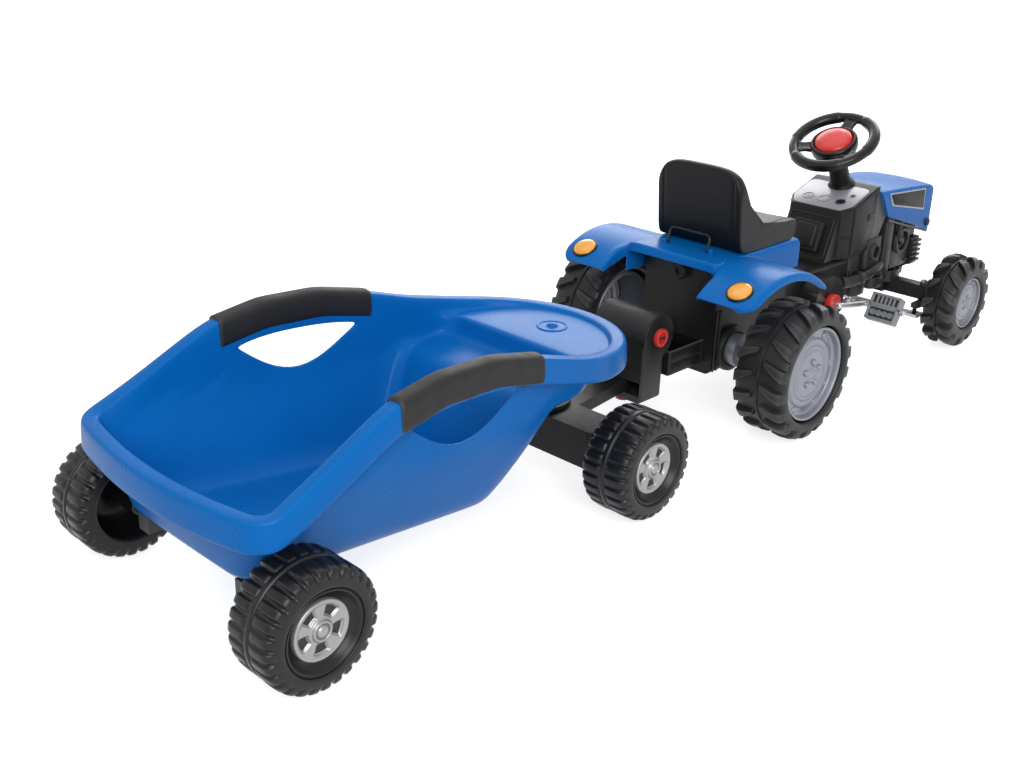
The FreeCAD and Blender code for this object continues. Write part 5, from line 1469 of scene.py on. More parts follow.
    def build_lamps(self) -> None:
        """Makes the domed lenses and the dark rings round them."""
        turn = math.radians(self.lamp_angle)
        out = Vector((math.cos(turn), 0.0, math.sin(turn)))
        across = Vector((0.0, 1.0, 0.0))
        up = across.cross(out)
        foot = Vector((self.centre_x, self.lamp_y, self.centre_z)) + out * self.radius

        def place(point: Vector) -> Vector:
            """Returns a point of the lamp, turned onto the fender."""
            return foot + across * point.x + up * point.y + out * point.z

        size = self.lamp_radius
        ring = revolve(
            [
                (size - 3.0, -2.6), (size + 2.2, -2.6), (size + 2.4, 0.4), (size + 1.8, 2.0),
                (size + 0.6, 2.6), (size - 0.6, 2.4), (size - 1.0, 1.0),
            ], 48, ORIGIN, "z", False,
        )
        lens = revolve(
            [
                (size - 0.5, -1.2), (size - 0.6, 2.2), (size - 1.6, 4.0), (size * 0.78, 5.6),
                (size * 0.5, 6.5), (size * 0.2, 6.9),
            ], 48, ORIGIN, "z",
        )
        for shape, name, coating, nodes in (
            (ring, "tail_lamp_rings", Coating.GLOSS, ()),
            (lens, "tail_lamp_lenses", Coating.ORANGE, ("tail_lamps",)),
        ):
            paired(shape.moved(place)).piece(name, "chassis", [coating], nodes, smooth=1)


@dataclass
class Seat:
    """The black seat: one moulding with a rolled back, a shallow pan and a thin groove round its edge."""

    half: float = 88.0
    base_z: float = 291.3
    rear_x: float = -16.0
    rear_top_x: float = -32.0
    top_z: float = 438.0
    corner: float = 42.0
    front_x: float = 161.0
    pan_z: float = 328.0
    stations: tuple[tuple[float, float, float], ...] = (
        (88.0, 6.0, 0.0), (87.9, 3.6, 0.0), (87.2, 1.4, 0.0), (85.4, 0.2, 0.0), (79.0, 0.0, 0.3),
        (76.0, 0.0, 0.4), (74.6, 0.0, -2.0), (72.6, 0.0, -2.0), (71.2, 0.0, 0.0), (58.0, 0.0, -0.9),
        (34.0, 0.0, -2.2), (0.0, 0.0, -2.8),
    )

    def build(self) -> None:
        """Makes the seat."""
        half = [self.row(*station) for station in self.stations]
        other = [[(x, -y, z) for x, y, z in row] for row in half[-2::-1]]
        lofted(half + other).piece("seat_moulding", "seat", [Coating.BLACK], ["seat"], smooth=2)

    def row(self, y: float, inset: float, dish: float) -> list[Spot]:
        """Returns the closed side view of the seat at a distance from the middle.

        Args:
            y: The distance.
            inset: How far the section is drawn in there.
            dish: How far the pan and the back stand out there, below 0 for a dent.
        """
        past = max(0.0, y - (self.half - self.corner))
        fall = self.corner - math.sqrt(max(0.0, self.corner ** 2 - past ** 2)) + 2.0 * (y / self.half) ** 2
        top = self.top_z - fall * 0.96
        pan = self.pan_z + dish - inset * 0.5
        lean = (self.rear_top_x - self.rear_x) / (self.top_z - self.base_z)
        back = [self.rear_x + (z - self.base_z) * lean + inset - dish * 0.6 for z in (
            self.base_z, mix(self.base_z, top, 0.3), mix(self.base_z, top, 0.68), top - 12.0
        )]
        crest = self.rear_x + (top - self.base_z) * lean
        front = crest + 25.0 - inset
        section = [
            (back[0], self.base_z), (back[1], mix(self.base_z, top, 0.3)),
            (back[2], mix(self.base_z, top, 0.68)), (back[3], top - 12.0 - inset * 0.4),
            (crest + 3.0 + inset, top - 3.0 - inset * 0.6), (crest + 12.0, top - inset * 0.6),
            (front - 4.0, top - 2.6 - inset * 0.6), (front + 1.0, top - 12.0),
            (mix(front, 20.0, 0.55) - inset * 0.4, mix(top, 350.0, 0.55)), (19.0 - inset * 0.4, 352.0),
            (27.0 - inset * 0.3, 336.0), (42.0, pan + 1.4), (58.0, pan), (100.0, pan - 0.6), (140.0, pan),
            (156.5 - inset * 0.6, pan - 0.6), (self.front_x - 0.8 - inset * 0.8, pan - 5.0),
            (self.front_x - 3.0 - inset * 0.8, 305.0), (self.front_x - 7.0 - inset * 0.8, self.base_z),
            (self.front_x - 20.0, self.base_z), (20.0, self.base_z),
        ]
        return [(x, y, z) for x, z in section]


def bead(outline: Sequence[Vector], radius: float) -> Shape:
    """Makes a thin raised line round an outline."""
    path = list(outline) + [outline[0]]
    return tube(path, [radius] * len(path), 8)


@dataclass
class SteeringWheel:
    """The steering wheel with its three dished spokes, the horn dome and the column's sleeve."""

    foot_x: float = 452.0
    foot_z: float = 341.0
    tilt: float = 29.0
    length: float = 90.0
    ring: float = 77.0
    grip: float = 11.6
    hub: float = 46.0
    hub_low: float = -26.0
    hub_top: float = 4.0
    dome: float = 36.8
    dome_top: float = 13.0
    sleeve: float = 19.0
    sleeve_drop: float = 21.0
    spokes: tuple[float, ...] = (0.0, 120.0, 240.0)
    rim_steps: int = 96
    rim_around: int = 14

    def place(self, point: Vector) -> Vector:
        """Sets a point of the wheel on the tilted column.

        Args:
            point: The point, given forward, left and up the column.

        Returns:
            The point in the tractor's frame.
        """
        turn = math.radians(self.tilt)
        rise = self.length + point.z
        return Vector((
            self.foot_x - rise * math.sin(turn) + point.x * math.cos(turn), point.y,
            self.foot_z + rise * math.cos(turn) + point.x * math.sin(turn),
        ))

    def build(self) -> None:
        """Makes the wheel, the horn dome and the sleeve."""
        wheel = self.rim()
        for angle in self.spokes:
            wheel.join(self.spoke(math.radians(angle)))
        top = self.hub_top
        hub = [
            (20.0, self.hub_low), (32.0, self.hub_low), (39.0, -24.5), (43.6, -20.0), (45.6, -13.0),
            (self.hub, -5.0), (45.4, 0.0), (43.6, top - 0.8), (41.4, top), (39.4, top), (38.2, top - 1.2),
            (37.8, top - 4.0), (37.6, -11.6), (20.0, -11.8),
        ]
        wheel.join(revolve(hub, 64, ORIGIN, "z"))
        wheel.moved(self.place).piece(
            "steering_wheel_moulding", "steering", [Coating.GLOSS], ["steering_wheel"], smooth=2
        )
        dome = [
            (30.0, -11.0), (self.dome - 1.0, -11.0), (self.dome, -8.0), (self.dome, 1.0),
            (self.dome - 0.6, 4.4), (33.6, 7.8), (27.0, 10.4), (18.0, 12.2), (8.0, 12.9),
            (2.0, self.dome_top),
        ]
        revolve(dome, 64, ORIGIN, "z").moved(self.place).piece(
            "horn_dome", "horn", [Coating.RED], ["horn_button"], smooth=1
        )
        low = -self.length - self.sleeve_drop
        sleeve = [
            (9.0, low - 2.0), (27.0, low - 2.0), (27.4, low + 5.0), (26.4, low + 7.6), (23.0, low + 9.4),
            (20.4, low + 13.0), (self.sleeve, low + 22.0), (self.sleeve, -48.0), (self.sleeve, -38.0),
            (21.0, -36.6), (21.4, -32.0), (20.6, -29.0), (19.0, -27.0), (8.0, -26.8),
        ]
        revolve(sleeve, 48, ORIGIN, "z").moved(self.place).piece(
            "column_sleeve_moulding", "chassis", [Coating.BLACK], ["column_sleeve"], smooth=1
        )

    def rim(self) -> Shape:
        """Returns the ring, thicker between the spokes than at them."""
        rows = []
        for step in range(self.rim_steps):
            angle = 360.0 * step / self.rim_steps
            near = min(abs((angle - spoke + 180.0) % 360.0 - 180.0) for spoke in self.spokes)
            radius = mix(self.grip * 0.86, self.grip, min(1.0, max(0.0, (near - 19.0) / 2.0)))
            turn = math.radians(angle)
            row = []
            for part in range(self.rim_around):
                bend = math.tau * part / self.rim_around
                reach = self.ring + radius * math.cos(bend)
                row.append((reach * math.cos(turn), reach * math.sin(turn), radius * math.sin(bend)))
            rows.append(row)
        made = Shape()
        rings = made.loft(rows)
        made.bridge(rings[-1], rings[0])
        return made

    def spoke(self, turn: float) -> Shape:
        """Returns one spoke.

        Args:
            turn: Its angle in radians from straight ahead.
        """
        stations = (
            (36.0, 17.5, -6.0, 5.5), (44.0, 14.6, -5.0, 5.2), (52.0, 12.4, -3.2, 4.8),
            (60.0, 12.6, -1.6, 4.6), (68.0, 15.0, -0.6, 5.0), (74.0, 18.4, 0.0, 5.6),
            (78.0, 20.0, 0.0, 5.0),
        )
        rows = []
        for reach, half, height, thick in stations:
            section = [
                (-half, -thick * 0.35), (-half * 0.8, -thick), (0.0, -thick), (half * 0.8, -thick),
                (half, -thick * 0.35), (half, thick * 0.5), (half * 0.82, thick),
                (half * 0.5, thick * 0.55), (0.0, thick * 0.45), (-half * 0.5, thick * 0.55),
                (-half * 0.82, thick), (-half, thick * 0.5),
            ]
            rows.append([
                (
                    reach * math.cos(turn) - across * math.sin(turn),
                    reach * math.sin(turn) + across * math.cos(turn), height + rise,
                )
                for across, rise in section
            ])
        return lofted(rows)


@dataclass
class Cowl:
    """The cowl: its body, the dash foil with its gauges, side and corner plates, and the rear pad."""

    lip_x: float = 372.0
    lip_z: float = 296.66
    tilt: float = 18.0
    crest_x: float = 480.0
    crest_z: float = 331.7
    rear_x: float = 335.0
    low_z: float = 200.0
    half: float = 70.0
    rear_half: float = 54.0
    facet_x: float = 396.0
    front_x: float = 490.0

    def slope(self, run: float, y: float, rise: float = 0.0) -> Vector:
        """Returns a point on the sloping top.

        Args:
            run: How far it is up the slope.
            y: How far it is to the left.
            rise: How far it stands above the slope.
        """
        turn = math.radians(self.tilt)
        return Vector((
            self.lip_x + run * math.cos(turn) - rise * math.sin(turn), y,
            self.lip_z + run * math.sin(turn) + rise * math.cos(turn),
        ))

    def rear(self, run: float, y: float, rise: float) -> Vector:
        """Returns a point on the leaning rear face, given up the face, left and out of it."""
        way = Vector((self.lip_x - self.rear_x, 0.0, self.lip_z - self.low_z)).normalized()
        return Vector((
            self.rear_x + way.x * run - way.z * rise, y, self.low_z + way.z * run + way.x * rise,
        ))

    def on_rear(self, low: float, high: float, half: float, rise: float, corner: float) -> list[Vector]:
        """Returns a rounded rectangle on the rear face.

        Args:
            low: How far its foot is up the face.
            high: How far its top is up the face.
            half: Half its width.
            rise: How far it stands out of the face.
            corner: Radius of its corners.
        """
        corners = square(half, -half, low, high)
        return rounded([self.rear(run, y, rise) for y, run in corners], corner)

    def build(self) -> None:
        """Makes the body, the dash and the plates."""
        self.build_body()
        self.build_dash()
        self.build_plates()

    def build_body(self) -> None:
        """Makes the body with its facets, and the cheeks that reach under the hood."""
        facet_top = self.slope((self.facet_x - self.lip_x) / math.cos(math.radians(self.tilt)), 0.0).z
        stations = (
            (self.rear_x, self.rear_half, self.low_z + 0.5), (self.lip_x, self.rear_half, self.lip_z),
            (self.facet_x, self.half, facet_top), (self.crest_x, self.half, self.crest_z),
            (self.front_x, self.half, self.crest_z),
        )
        rows = []
        for x, half, top in stations:
            rows.append([(x, -half, self.low_z), (x, -half, top), (x, half, top), (x, half, self.low_z)])
        made = lofted(rows)
        cheek = (
            (468.0, 202.0), (484.0, 202.0), (504.0, 228.0), (527.0, 266.0), (494.0, 322.0), (468.0, 322.0),
        )
        made.loft([[(x, y, z) for x, z in cheek] for y in (-self.half - 2.0, self.half + 2.0)], True)
        made.piece("cowl_moulding", "chassis", [Coating.BLACK], ["cowl"], bevel=3.0, sharp=12.0)

    def build_dash(self) -> None:
        """Makes the foil that covers the slope, three gauges and a switch; two gauge faces are painted
        lighter grey as painted glare.
        """
        corners = (
            (2.5, -51.0), (26.0, -66.6), (88.0, -66.6), (96.0, -58.0), (96.0, 58.0), (88.0, 66.6),
            (26.0, 66.6), (2.5, 51.0),
        )
        made = plate(rounded([self.slope(run, y) for run, y in corners], 7.0), 1.6, 0.8)
        # Painted glare: the middle and left gauges get lighter grey faces; the right gauge and the switch
        # stay dark.
        for y, face in ((-36.0, 1), (0.0, 2), (36.0, 2)):
            made.join(self.gauge(31.0, y, 11.0, face))
        made.join(self.gauge(60.0, -46.0, 5.0, 1))
        made.piece(
            "dash_foil_panel", "chassis", [Coating.PANEL, Coating.DARK, Coating.PEDAL], ["dash_panel"],
            sharp=PLATE_SHARP,
        )

    def gauge(self, run: float, y: float, size: float, face: int) -> Shape:
        """Returns a gauge in a raised ring, on the foil.

        Args:
            run: How far its middle is up the slope.
            y: How far its middle is to the left.
            size: Its radius.
            face: The finish of its face.
        """
        ring = revolve(
            [(size + 1.2, 0.8), (size + 1.2, 2.0), (size + 0.4, 2.7), (size - 0.6, 2.7), (size - 1.2, 2.0)],
            32, ORIGIN, "z", False, 2,
        )
        ring.join(revolve([(size - 1.0, 2.1), (size * 0.6, 2.3), (0.6, 2.4)], 32, ORIGIN, "z", True, face))
        return ring.moved(lambda point: self.slope(run + point.x, y + point.y, point.z))

    def build_plates(self) -> None:
        """Makes the plates on the sides and corners, with seams between, and the pad on the rear face."""
        half = -self.half
        side = [(400.0, 207.0), (472.0, 207.0), (482.0, 262.0), (478.0, 326.0), (400.0, 301.0)]
        made = side_plate(side, half, 5.0, 2.4, 1.2)
        near, far = Vector((373.5, -55.0, 0.0)), Vector((394.5, -69.0, 0.0))
        up = Vector((0.0, 0.0, 1.0))
        for low, near_top, far_top in ((205.0, 243.0, 243.0), (247.0, 292.0, 298.5)):
            corners = [near + up * low, far + up * low, far + up * far_top, near + up * near_top]
            made.join(plate(rounded(corners, 3.5), 1.6, 1.0))
        vent = square(452.0, 474.0, 268.0, 282.0)
        made.join(side_plate(vent, half - 2.0, 2.0, 2.0, 0.8))
        both = paired(made)
        both.join(plate(self.on_rear(16.0, 76.0, 31.0, 6.0, 7.0), 3.0, 1.6, 6.0))
        both.join(plate(self.on_rear(23.0, 69.0, 22.0, 9.0, 8.0), 4.0, 3.0))
        both.join(bead(self.on_rear(6.0, 88.0, 48.0, 0.4, 8.0), 1.5))
        both.piece("cowl_plates", "chassis", [Coating.BLACK], sharp=PLATE_SHARP)


@dataclass
class Hood:
    """The hood: its shell, bare side panels with a pale border, trim under its edge and corner knobs."""

    half: float = 80.0
    rear_x: float = 490.0
    front_x: float = 708.0
    rear_low_z: float = 270.0
    front_low_z: float = 205.0

    def build(self) -> None:
        """Makes the shell, and the panels, trim and knobs on both sides."""
        self.build_shell()
        panel = [(537.0, 289.0), (669.0, 261.0), (665.0, 300.5), (519.0, 312.0)]
        border = [(531.0, 287.0), (672.0, 257.0), (668.0, 303.5), (514.0, 315.0)]
        made = side_plate(border, -self.half, 3.0, 0.9, 0.4, 1)
        made.join(side_plate(panel, -self.half, 3.0, 1.5, 0.5))
        paired(made).piece(
            "hood_side_panels", "chassis", [Coating.DARK, Coating.PANEL], ["hood_panels"], sharp=PLATE_SHARP,
        )
        fall = (self.front_low_z - self.rear_low_z) / (self.front_x - self.rear_x)
        path = [
            (x, -self.half + 2.0, self.rear_low_z + (x - self.rear_x) * fall - 1.0)
            for x in (526.0, 560.0, 600.0, 640.0, 680.0, 704.0)
        ]
        line = tube(path, [2.6] * len(path), 10)
        knob_shape = revolve(
            [
                (8.4, -self.half + 3.0), (8.6, -self.half - 2.0), (7.4, -self.half - 4.6),
                (4.0, -self.half - 5.6), (0.6, -self.half - 5.8),
            ], 24, (696.0, 0.0, 226.0), "y",
        )
        paired(line, knob_shape).piece("hood_trim", "chassis", [Coating.GLOSS], sharp=PLATE_SHARP)

    def build_shell(self) -> None:
        """Makes the blue shell from sections that lean with its rear edge."""
        stations = (
            (521.0, 266.5, 486.0, 321.0, 8.0), (522.0, 266.2, 486.6, 322.0, 8.5),
            (524.0, 265.6, 489.0, 322.4, 9.0), (570.0, 251.0, 540.0, 320.5, 9.0),
            (615.0, 237.0, 600.0, 316.5, 8.0), (660.0, 222.0, 655.0, 312.0, 6.5),
            (690.0, 212.0, 688.0, 308.0, 5.0), (702.0, 207.5, 701.0, 305.0, 4.0),
            (706.6, 206.0, 706.0, 301.0, 3.0), (707.8, 205.6, 707.4, 297.0, 2.0),
        )
        rows = []
        for low_x, low_z, top_x, top_z, crown in stations:
            half = self.half - (2.0 if top_x > 706.0 else 0.0)
            side = [(low_x, half - 1.2, low_z), (low_x, half, low_z + 1.6)]
            side += [(mix(low_x, top_x, part), half, mix(low_z, top_z, part)) for part in (0.35, 0.7)]
            side += [
                (top_x, half, top_z - 5.0), (top_x, half - 1.6, top_z - 1.4), (top_x, half - 6.0, top_z),
            ]
            side += [(top_x, half * 0.55, top_z + crown * 0.75)]
            row = [(x, -y, z) for x, y, z in side] + [(top_x, 0.0, top_z + crown)] + side[::-1]
            rows.append(row)
        lofted(rows).piece("hood_shell", "chassis", [Coating.BLUE], ["hood"], sharp=PLATE_SHARP)


@dataclass
class Pedals:
    """The two grey pedals: a rounded frame, bars and studs on both faces, and a dark core of painted shade in
    the hollows between.
    """

    crank_x: float = 300.0
    crank_z: float = 138.0
    arm: float = 98.0
    rest: float = -10.0
    lean: float = 60.0
    inner_y: float = 132.0
    outer_y: float = 194.0
    length: float = 54.0
    thick: float = 21.0

    def build(self) -> None:
        """Makes both pedals."""
        for side, turn in ((Side.RIGHT, self.rest), (Side.LEFT, self.rest + 180.0)):
            angle = math.radians(turn)
            centre = Vector((
                self.crank_x + self.arm * math.cos(angle), 0.0, self.crank_z + self.arm * math.sin(angle)
            ))
            self.pedal(centre, side)

    def pedal(self, centre: Vector, side: Side) -> None:
        """Makes one pedal.

        Args:
            centre: Where its spindle is.
            side: The side that it is on.
        """
        turn = math.radians(self.lean)
        middle = (self.inner_y + self.outer_y) / 2

        def place(point: Vector) -> Vector:
            """Sets a point of a level pedal on its spindle.

            Args:
                point: The point, given along, across and above the pedal.

            Returns:
                The point in the tractor's frame.
            """
            return Vector((
                centre.x + point.x * math.cos(turn) - point.z * math.sin(turn),
                (middle + point.y) * side.value,
                centre.z + point.x * math.sin(turn) + point.z * math.cos(turn),
            ))

        deep = self.length / 2
        wide = (self.outer_y - self.inner_y) / 2
        high = self.thick / 2
        frame_shape = Shape()
        for low, top in (
            ((-deep, -wide), (-deep + 5.5, wide)), ((deep - 5.5, -wide), (deep, wide)),
            ((-deep, -wide), (deep, -wide + 5.5)), ((-deep, wide - 5.5), (deep, wide)),
            ((-3.0, -wide), (7.0, wide)),
        ):
            frame_shape.join(block((*low, -high), (*top, high), 3.0, 1.6))
        for bar in range(5):
            y = (bar - 2.0) * (2 * wide - 11.0) / 6
            frame_shape.join(block(
                (6.0, y - 1.9, -high + 1.0), (deep - 4.0, y + 1.9, high - 1.0), 0.8, 0.6,
            ))
        for stud in range(4):
            y = (stud - 1.5) * (2 * wide - 14.0) / 4
            for face in (-1.0, 1.0):
                profile = [
                    (6.2, 0.0), (6.2, high - 2.4), (5.4, high - 1.2), (3.6, high - 1.2), (3.0, high - 2.4),
                    (0.6, high - 2.6),
                ]
                turned = revolve(profile, 20, (-deep + 15.0, y, 0.0), "z")
                frame_shape.join(turned, lambda point, face=face: Vector((
                    point.x, point.y * face, point.z * face,
                )))
        made = frame_shape.moved(place)
        # Painted shade: a dark core fills the hollows inside the frame.
        made.join(block((-deep + 4.0, -wide + 4.0, -4.0), (deep - 4.0, wide - 4.0, 4.0), 2.0), place, 1)
        node = f"pedal_{side.word}"
        made.piece(f"{node}_tread", node, [Coating.PEDAL, Coating.RECESS], [node], sharp=PLATE_SHARP)


@dataclass
class Engine:
    """The engine: two blocks with side plates, a bar, a boss, a ring, pipes, fins and the spine's lobes."""

    rear_x: float = 420.0
    hood_x: float = 490.0
    front_x: float = 690.0
    half: float = 62.0
    low_z: float = 132.0
    step_z: float = 200.0
    top_z: float = 262.0

    def build(self) -> None:
        """Makes the blocks with the details of the right side and their mirror images."""
        made = block(
            (self.rear_x, -self.half, self.low_z), (self.front_x, self.half, self.step_z), 8.0, 2.0,
        )
        made.join(block(
            (self.hood_x - 2.0, -self.half, self.low_z), (self.front_x, self.half, self.top_z), 8.0, 2.0,
        ))
        made.join(paired(self.plates(), self.rounds(), self.pipes(), self.lobes()))
        made.piece("engine_moulding", "chassis", [Coating.BLACK], ["engine_block"], sharp=PLATE_SHARP)

    def side(self, corners: Sequence[tuple[float, float]], rise: float, corner: float = 4.0) -> Shape:
        """Returns a plate on the right side, given its corners along and up."""
        return side_plate(corners, -self.half, corner, rise, 2.0)

    def plates(self) -> Shape:
        """Returns the side plates, the upright bar, the square boss and the finned block."""
        made = self.side([(570.0, 141.0), (656.0, 141.0), (656.0, 232.0), (570.0, 256.0)], 6.0, 8.0)
        made.join(self.side([(424.0, 138.0), (520.0, 138.0), (520.0, 156.0), (424.0, 172.0)], 4.0))
        made.join(block((532.0, -77.0, 140.0), (562.0, -58.0, 262.0), 6.0, 2.5))
        made.join(block((462.0, -74.0, 164.0), (524.0, -58.0, 228.0), 8.0, 2.5))
        made.join(block((662.0, -72.0, 136.0), (694.0, -56.0, 196.0), 5.0, 2.5))
        for fin in range(5):
            z = 142.0 + fin * 10.5
            made.join(block((658.0, -77.0, z), (697.0, -60.0, z + 5.5), 3.0, 1.2))
        return made

    def rounds(self) -> Shape:
        """Returns the ring on the plate, the collar of the boss and the heads of the fixing screws."""
        made = revolve(
            [
                (28.0, -66.0), (28.0, -73.0), (26.4, -74.6), (21.6, -74.6), (20.0, -73.0), (19.4, -69.4),
                (9.0, -69.2), (8.2, -73.0), (7.0, -74.2), (0.6, -74.4),
            ], 40, (612.0, 0.0, 199.0), "y",
        )
        made.join(revolve(
            [
                (18.0, -70.0), (18.0, -78.0), (16.4, -79.6), (13.0, -79.6), (11.4, -78.0), (11.0, -75.2),
                (0.6, -75.0),
            ],
            32, (493.0, 0.0, 198.0), "y",
        ))
        for x, z in ((578.0, 150.0), (648.0, 150.0), (578.0, 246.0), (648.0, 224.0)):
            made.join(revolve(
                [(4.6, -66.0), (4.6, -69.4), (3.6, -70.4), (0.6, -70.6)], 16, (x, 0.0, z), "y",
            ))
        return made

    def pipes(self) -> Shape:
        """Returns the stout pipe beside the tunnel and the thin bent one over the plate."""
        stout = [(400.0, -62.0, 149.0), (418.0, -70.0, 150.0), (450.0, -75.0, 153.0), (486.0, -75.0, 157.0),
                 (520.0, -72.0, 161.0), (540.0, -64.0, 163.0)]
        thin = [(600.0, -60.0, 262.0), (598.0, -72.0, 254.0), (592.0, -75.0, 240.0), (588.0, -75.0, 222.0),
                (594.0, -74.0, 208.0), (606.0, -70.0, 202.0)]
        made = tube(stout, [12.0, 12.0, 11.0, 11.0, 11.0, 11.0], 16)
        made.join(tube(thin, [5.0] * len(thin), 12))
        collar = [
            (442.0, -74.4, 152.4), (444.0, -74.6, 152.6), (452.0, -75.0, 153.4), (454.0, -75.0, 153.6),
        ]
        made.join(tube(collar, [11.0, 13.2, 13.2, 11.0], 16))
        return made

    def lobes(self) -> Shape:
        """Returns the rounded ears that stand out along the spine, with the ribs between them."""
        made = Shape()
        for x in (446.0, 520.0, 594.0):
            made.join(block((x, -68.0, 108.5), (x + 52.0, -38.0, 133.5), 22.0, 2.5))
            made.join(revolve(
                [(9.0, 133.0), (9.0, 136.0), (7.6, 137.4), (0.6, 137.6)], 20, (x + 26.0, -54.0, 0.0), "z",
            ))
        made.join(block((430.0, -54.0, 112.0), (672.0, -40.0, 130.0), 4.0, 1.5))
        return made


@dataclass
class Hitch:
    """Dress of the hitch: end plates, rings and slots of painted shade on the caps, ribs on the bracket, axle
    flanges.
    """

    drum_x: float = -180.0
    drum_z: float = 175.0
    radius: float = 38.6
    half: float = 52.0
    cap_y: float = 62.0
    bracket_x: float = -150.0
    housing_x: float = -55.0
    bracket_y: float = 58.0
    bracket_low: float = 97.0
    bracket_top: float = 140.0

    def build(self) -> None:
        """Makes the dress of the head, of the caps and of the bracket."""
        paired(self.end_plate()).piece("tow_head_plates", "tow_head", [Coating.BLACK], sharp=PLATE_SHARP)
        paired(self.cap_ring()).piece(
            "hitch_cap_rings", "tow_head", [Coating.RED, Coating.RECESS], sharp=PLATE_SHARP,
        )
        paired(self.ribs(), self.flange()).piece(
            "hitch_bracket_ribs", "chassis", [Coating.BLACK], sharp=PLATE_SHARP,
        )

    def end_plate(self) -> Shape:
        """Returns the plate that closes the right end of the drum and runs down beside the fork."""
        corners = [(-219.0, 68.0), (-168.0, 68.0), (-167.0, 138.0)]
        for angle in range(-54, 181, 9):
            turn = math.radians(angle)
            corners.append((
                self.drum_x + self.radius * math.cos(turn), self.drum_z + self.radius * math.sin(turn),
            ))
        return plate([Vector((x, -self.half, z)) for x, z in corners], 4.4, 1.2)

    def cap_ring(self) -> Shape:
        """Returns the raised ring of the right cap and a thin dark plate across it, painted shade that stands
        for the cap's slot.
        """
        made = revolve(
            [
                (14.0, -self.cap_y + 1.0), (13.6, -self.cap_y - 0.8), (12.4, -self.cap_y - 1.4),
                (11.2, -self.cap_y - 0.8), (10.8, -self.cap_y + 1.0),
            ], 32, (self.drum_x, 0.0, self.drum_z), "y", False,
        )
        # Painted shade: the slot is a thin dark plate raised on the cap, not a cut.
        slot = square(self.drum_x - 9.0, self.drum_x + 9.0, self.drum_z - 2.6, self.drum_z + 2.6)
        made.join(side_plate(slot, -self.cap_y, 1.6, 0.4, 0.2, 1))
        return made

    def ribs(self) -> Shape:
        """Returns the two sunk fields' borders and the top bead on the right side of the bracket."""
        made = Shape()
        middle = mix(self.bracket_low, self.bracket_top, 0.52)
        for low, top in ((self.bracket_low + 2.0, middle - 1.0), (middle + 1.0, self.bracket_top - 2.0)):
            corners = square(self.bracket_x + 3.0, self.housing_x - 6.0, low, top)
            made.join(side_plate(corners, -self.bracket_y, 2.0, 1.4, 0.9))
        path = [
            (self.housing_x, 1.4 - self.bracket_y, self.bracket_top),
            (self.bracket_x + 2.0, 1.4 - self.bracket_y, self.bracket_top),
            (self.bracket_x + 1.6, 3.0 - self.bracket_y, self.bracket_top),
            (self.bracket_x + 1.6, 0.0, self.bracket_top),
        ]
        made.join(tube(path, [1.7] * len(path), 8))
        for x in (self.housing_x + 7.0, self.housing_x + 17.0):
            made.join(block((x - 2.2, -80.2, 84.0), (x + 2.2, -70.0, 196.0), 1.4, 1.0))
        return made

    def flange(self) -> Shape:
        """Returns the black collar round the axle on the right wall of the housing."""
        return revolve(
            [
                (29.6, -76.0), (41.0, -76.0), (41.6, -80.0), (40.6, -86.0), (38.0, -88.4), (33.0, -88.8),
                (30.4, -87.0), (29.6, -82.0),
            ], 48, (0.0, 0.0, 118.0), "y", False,
        )


ASSEMBLIES = (
    Tub(), RunningGear(), Saddle(), Seat(), SteeringWheel(), Cowl(), Hood(), Pedals(), Engine(), Hitch(),
)


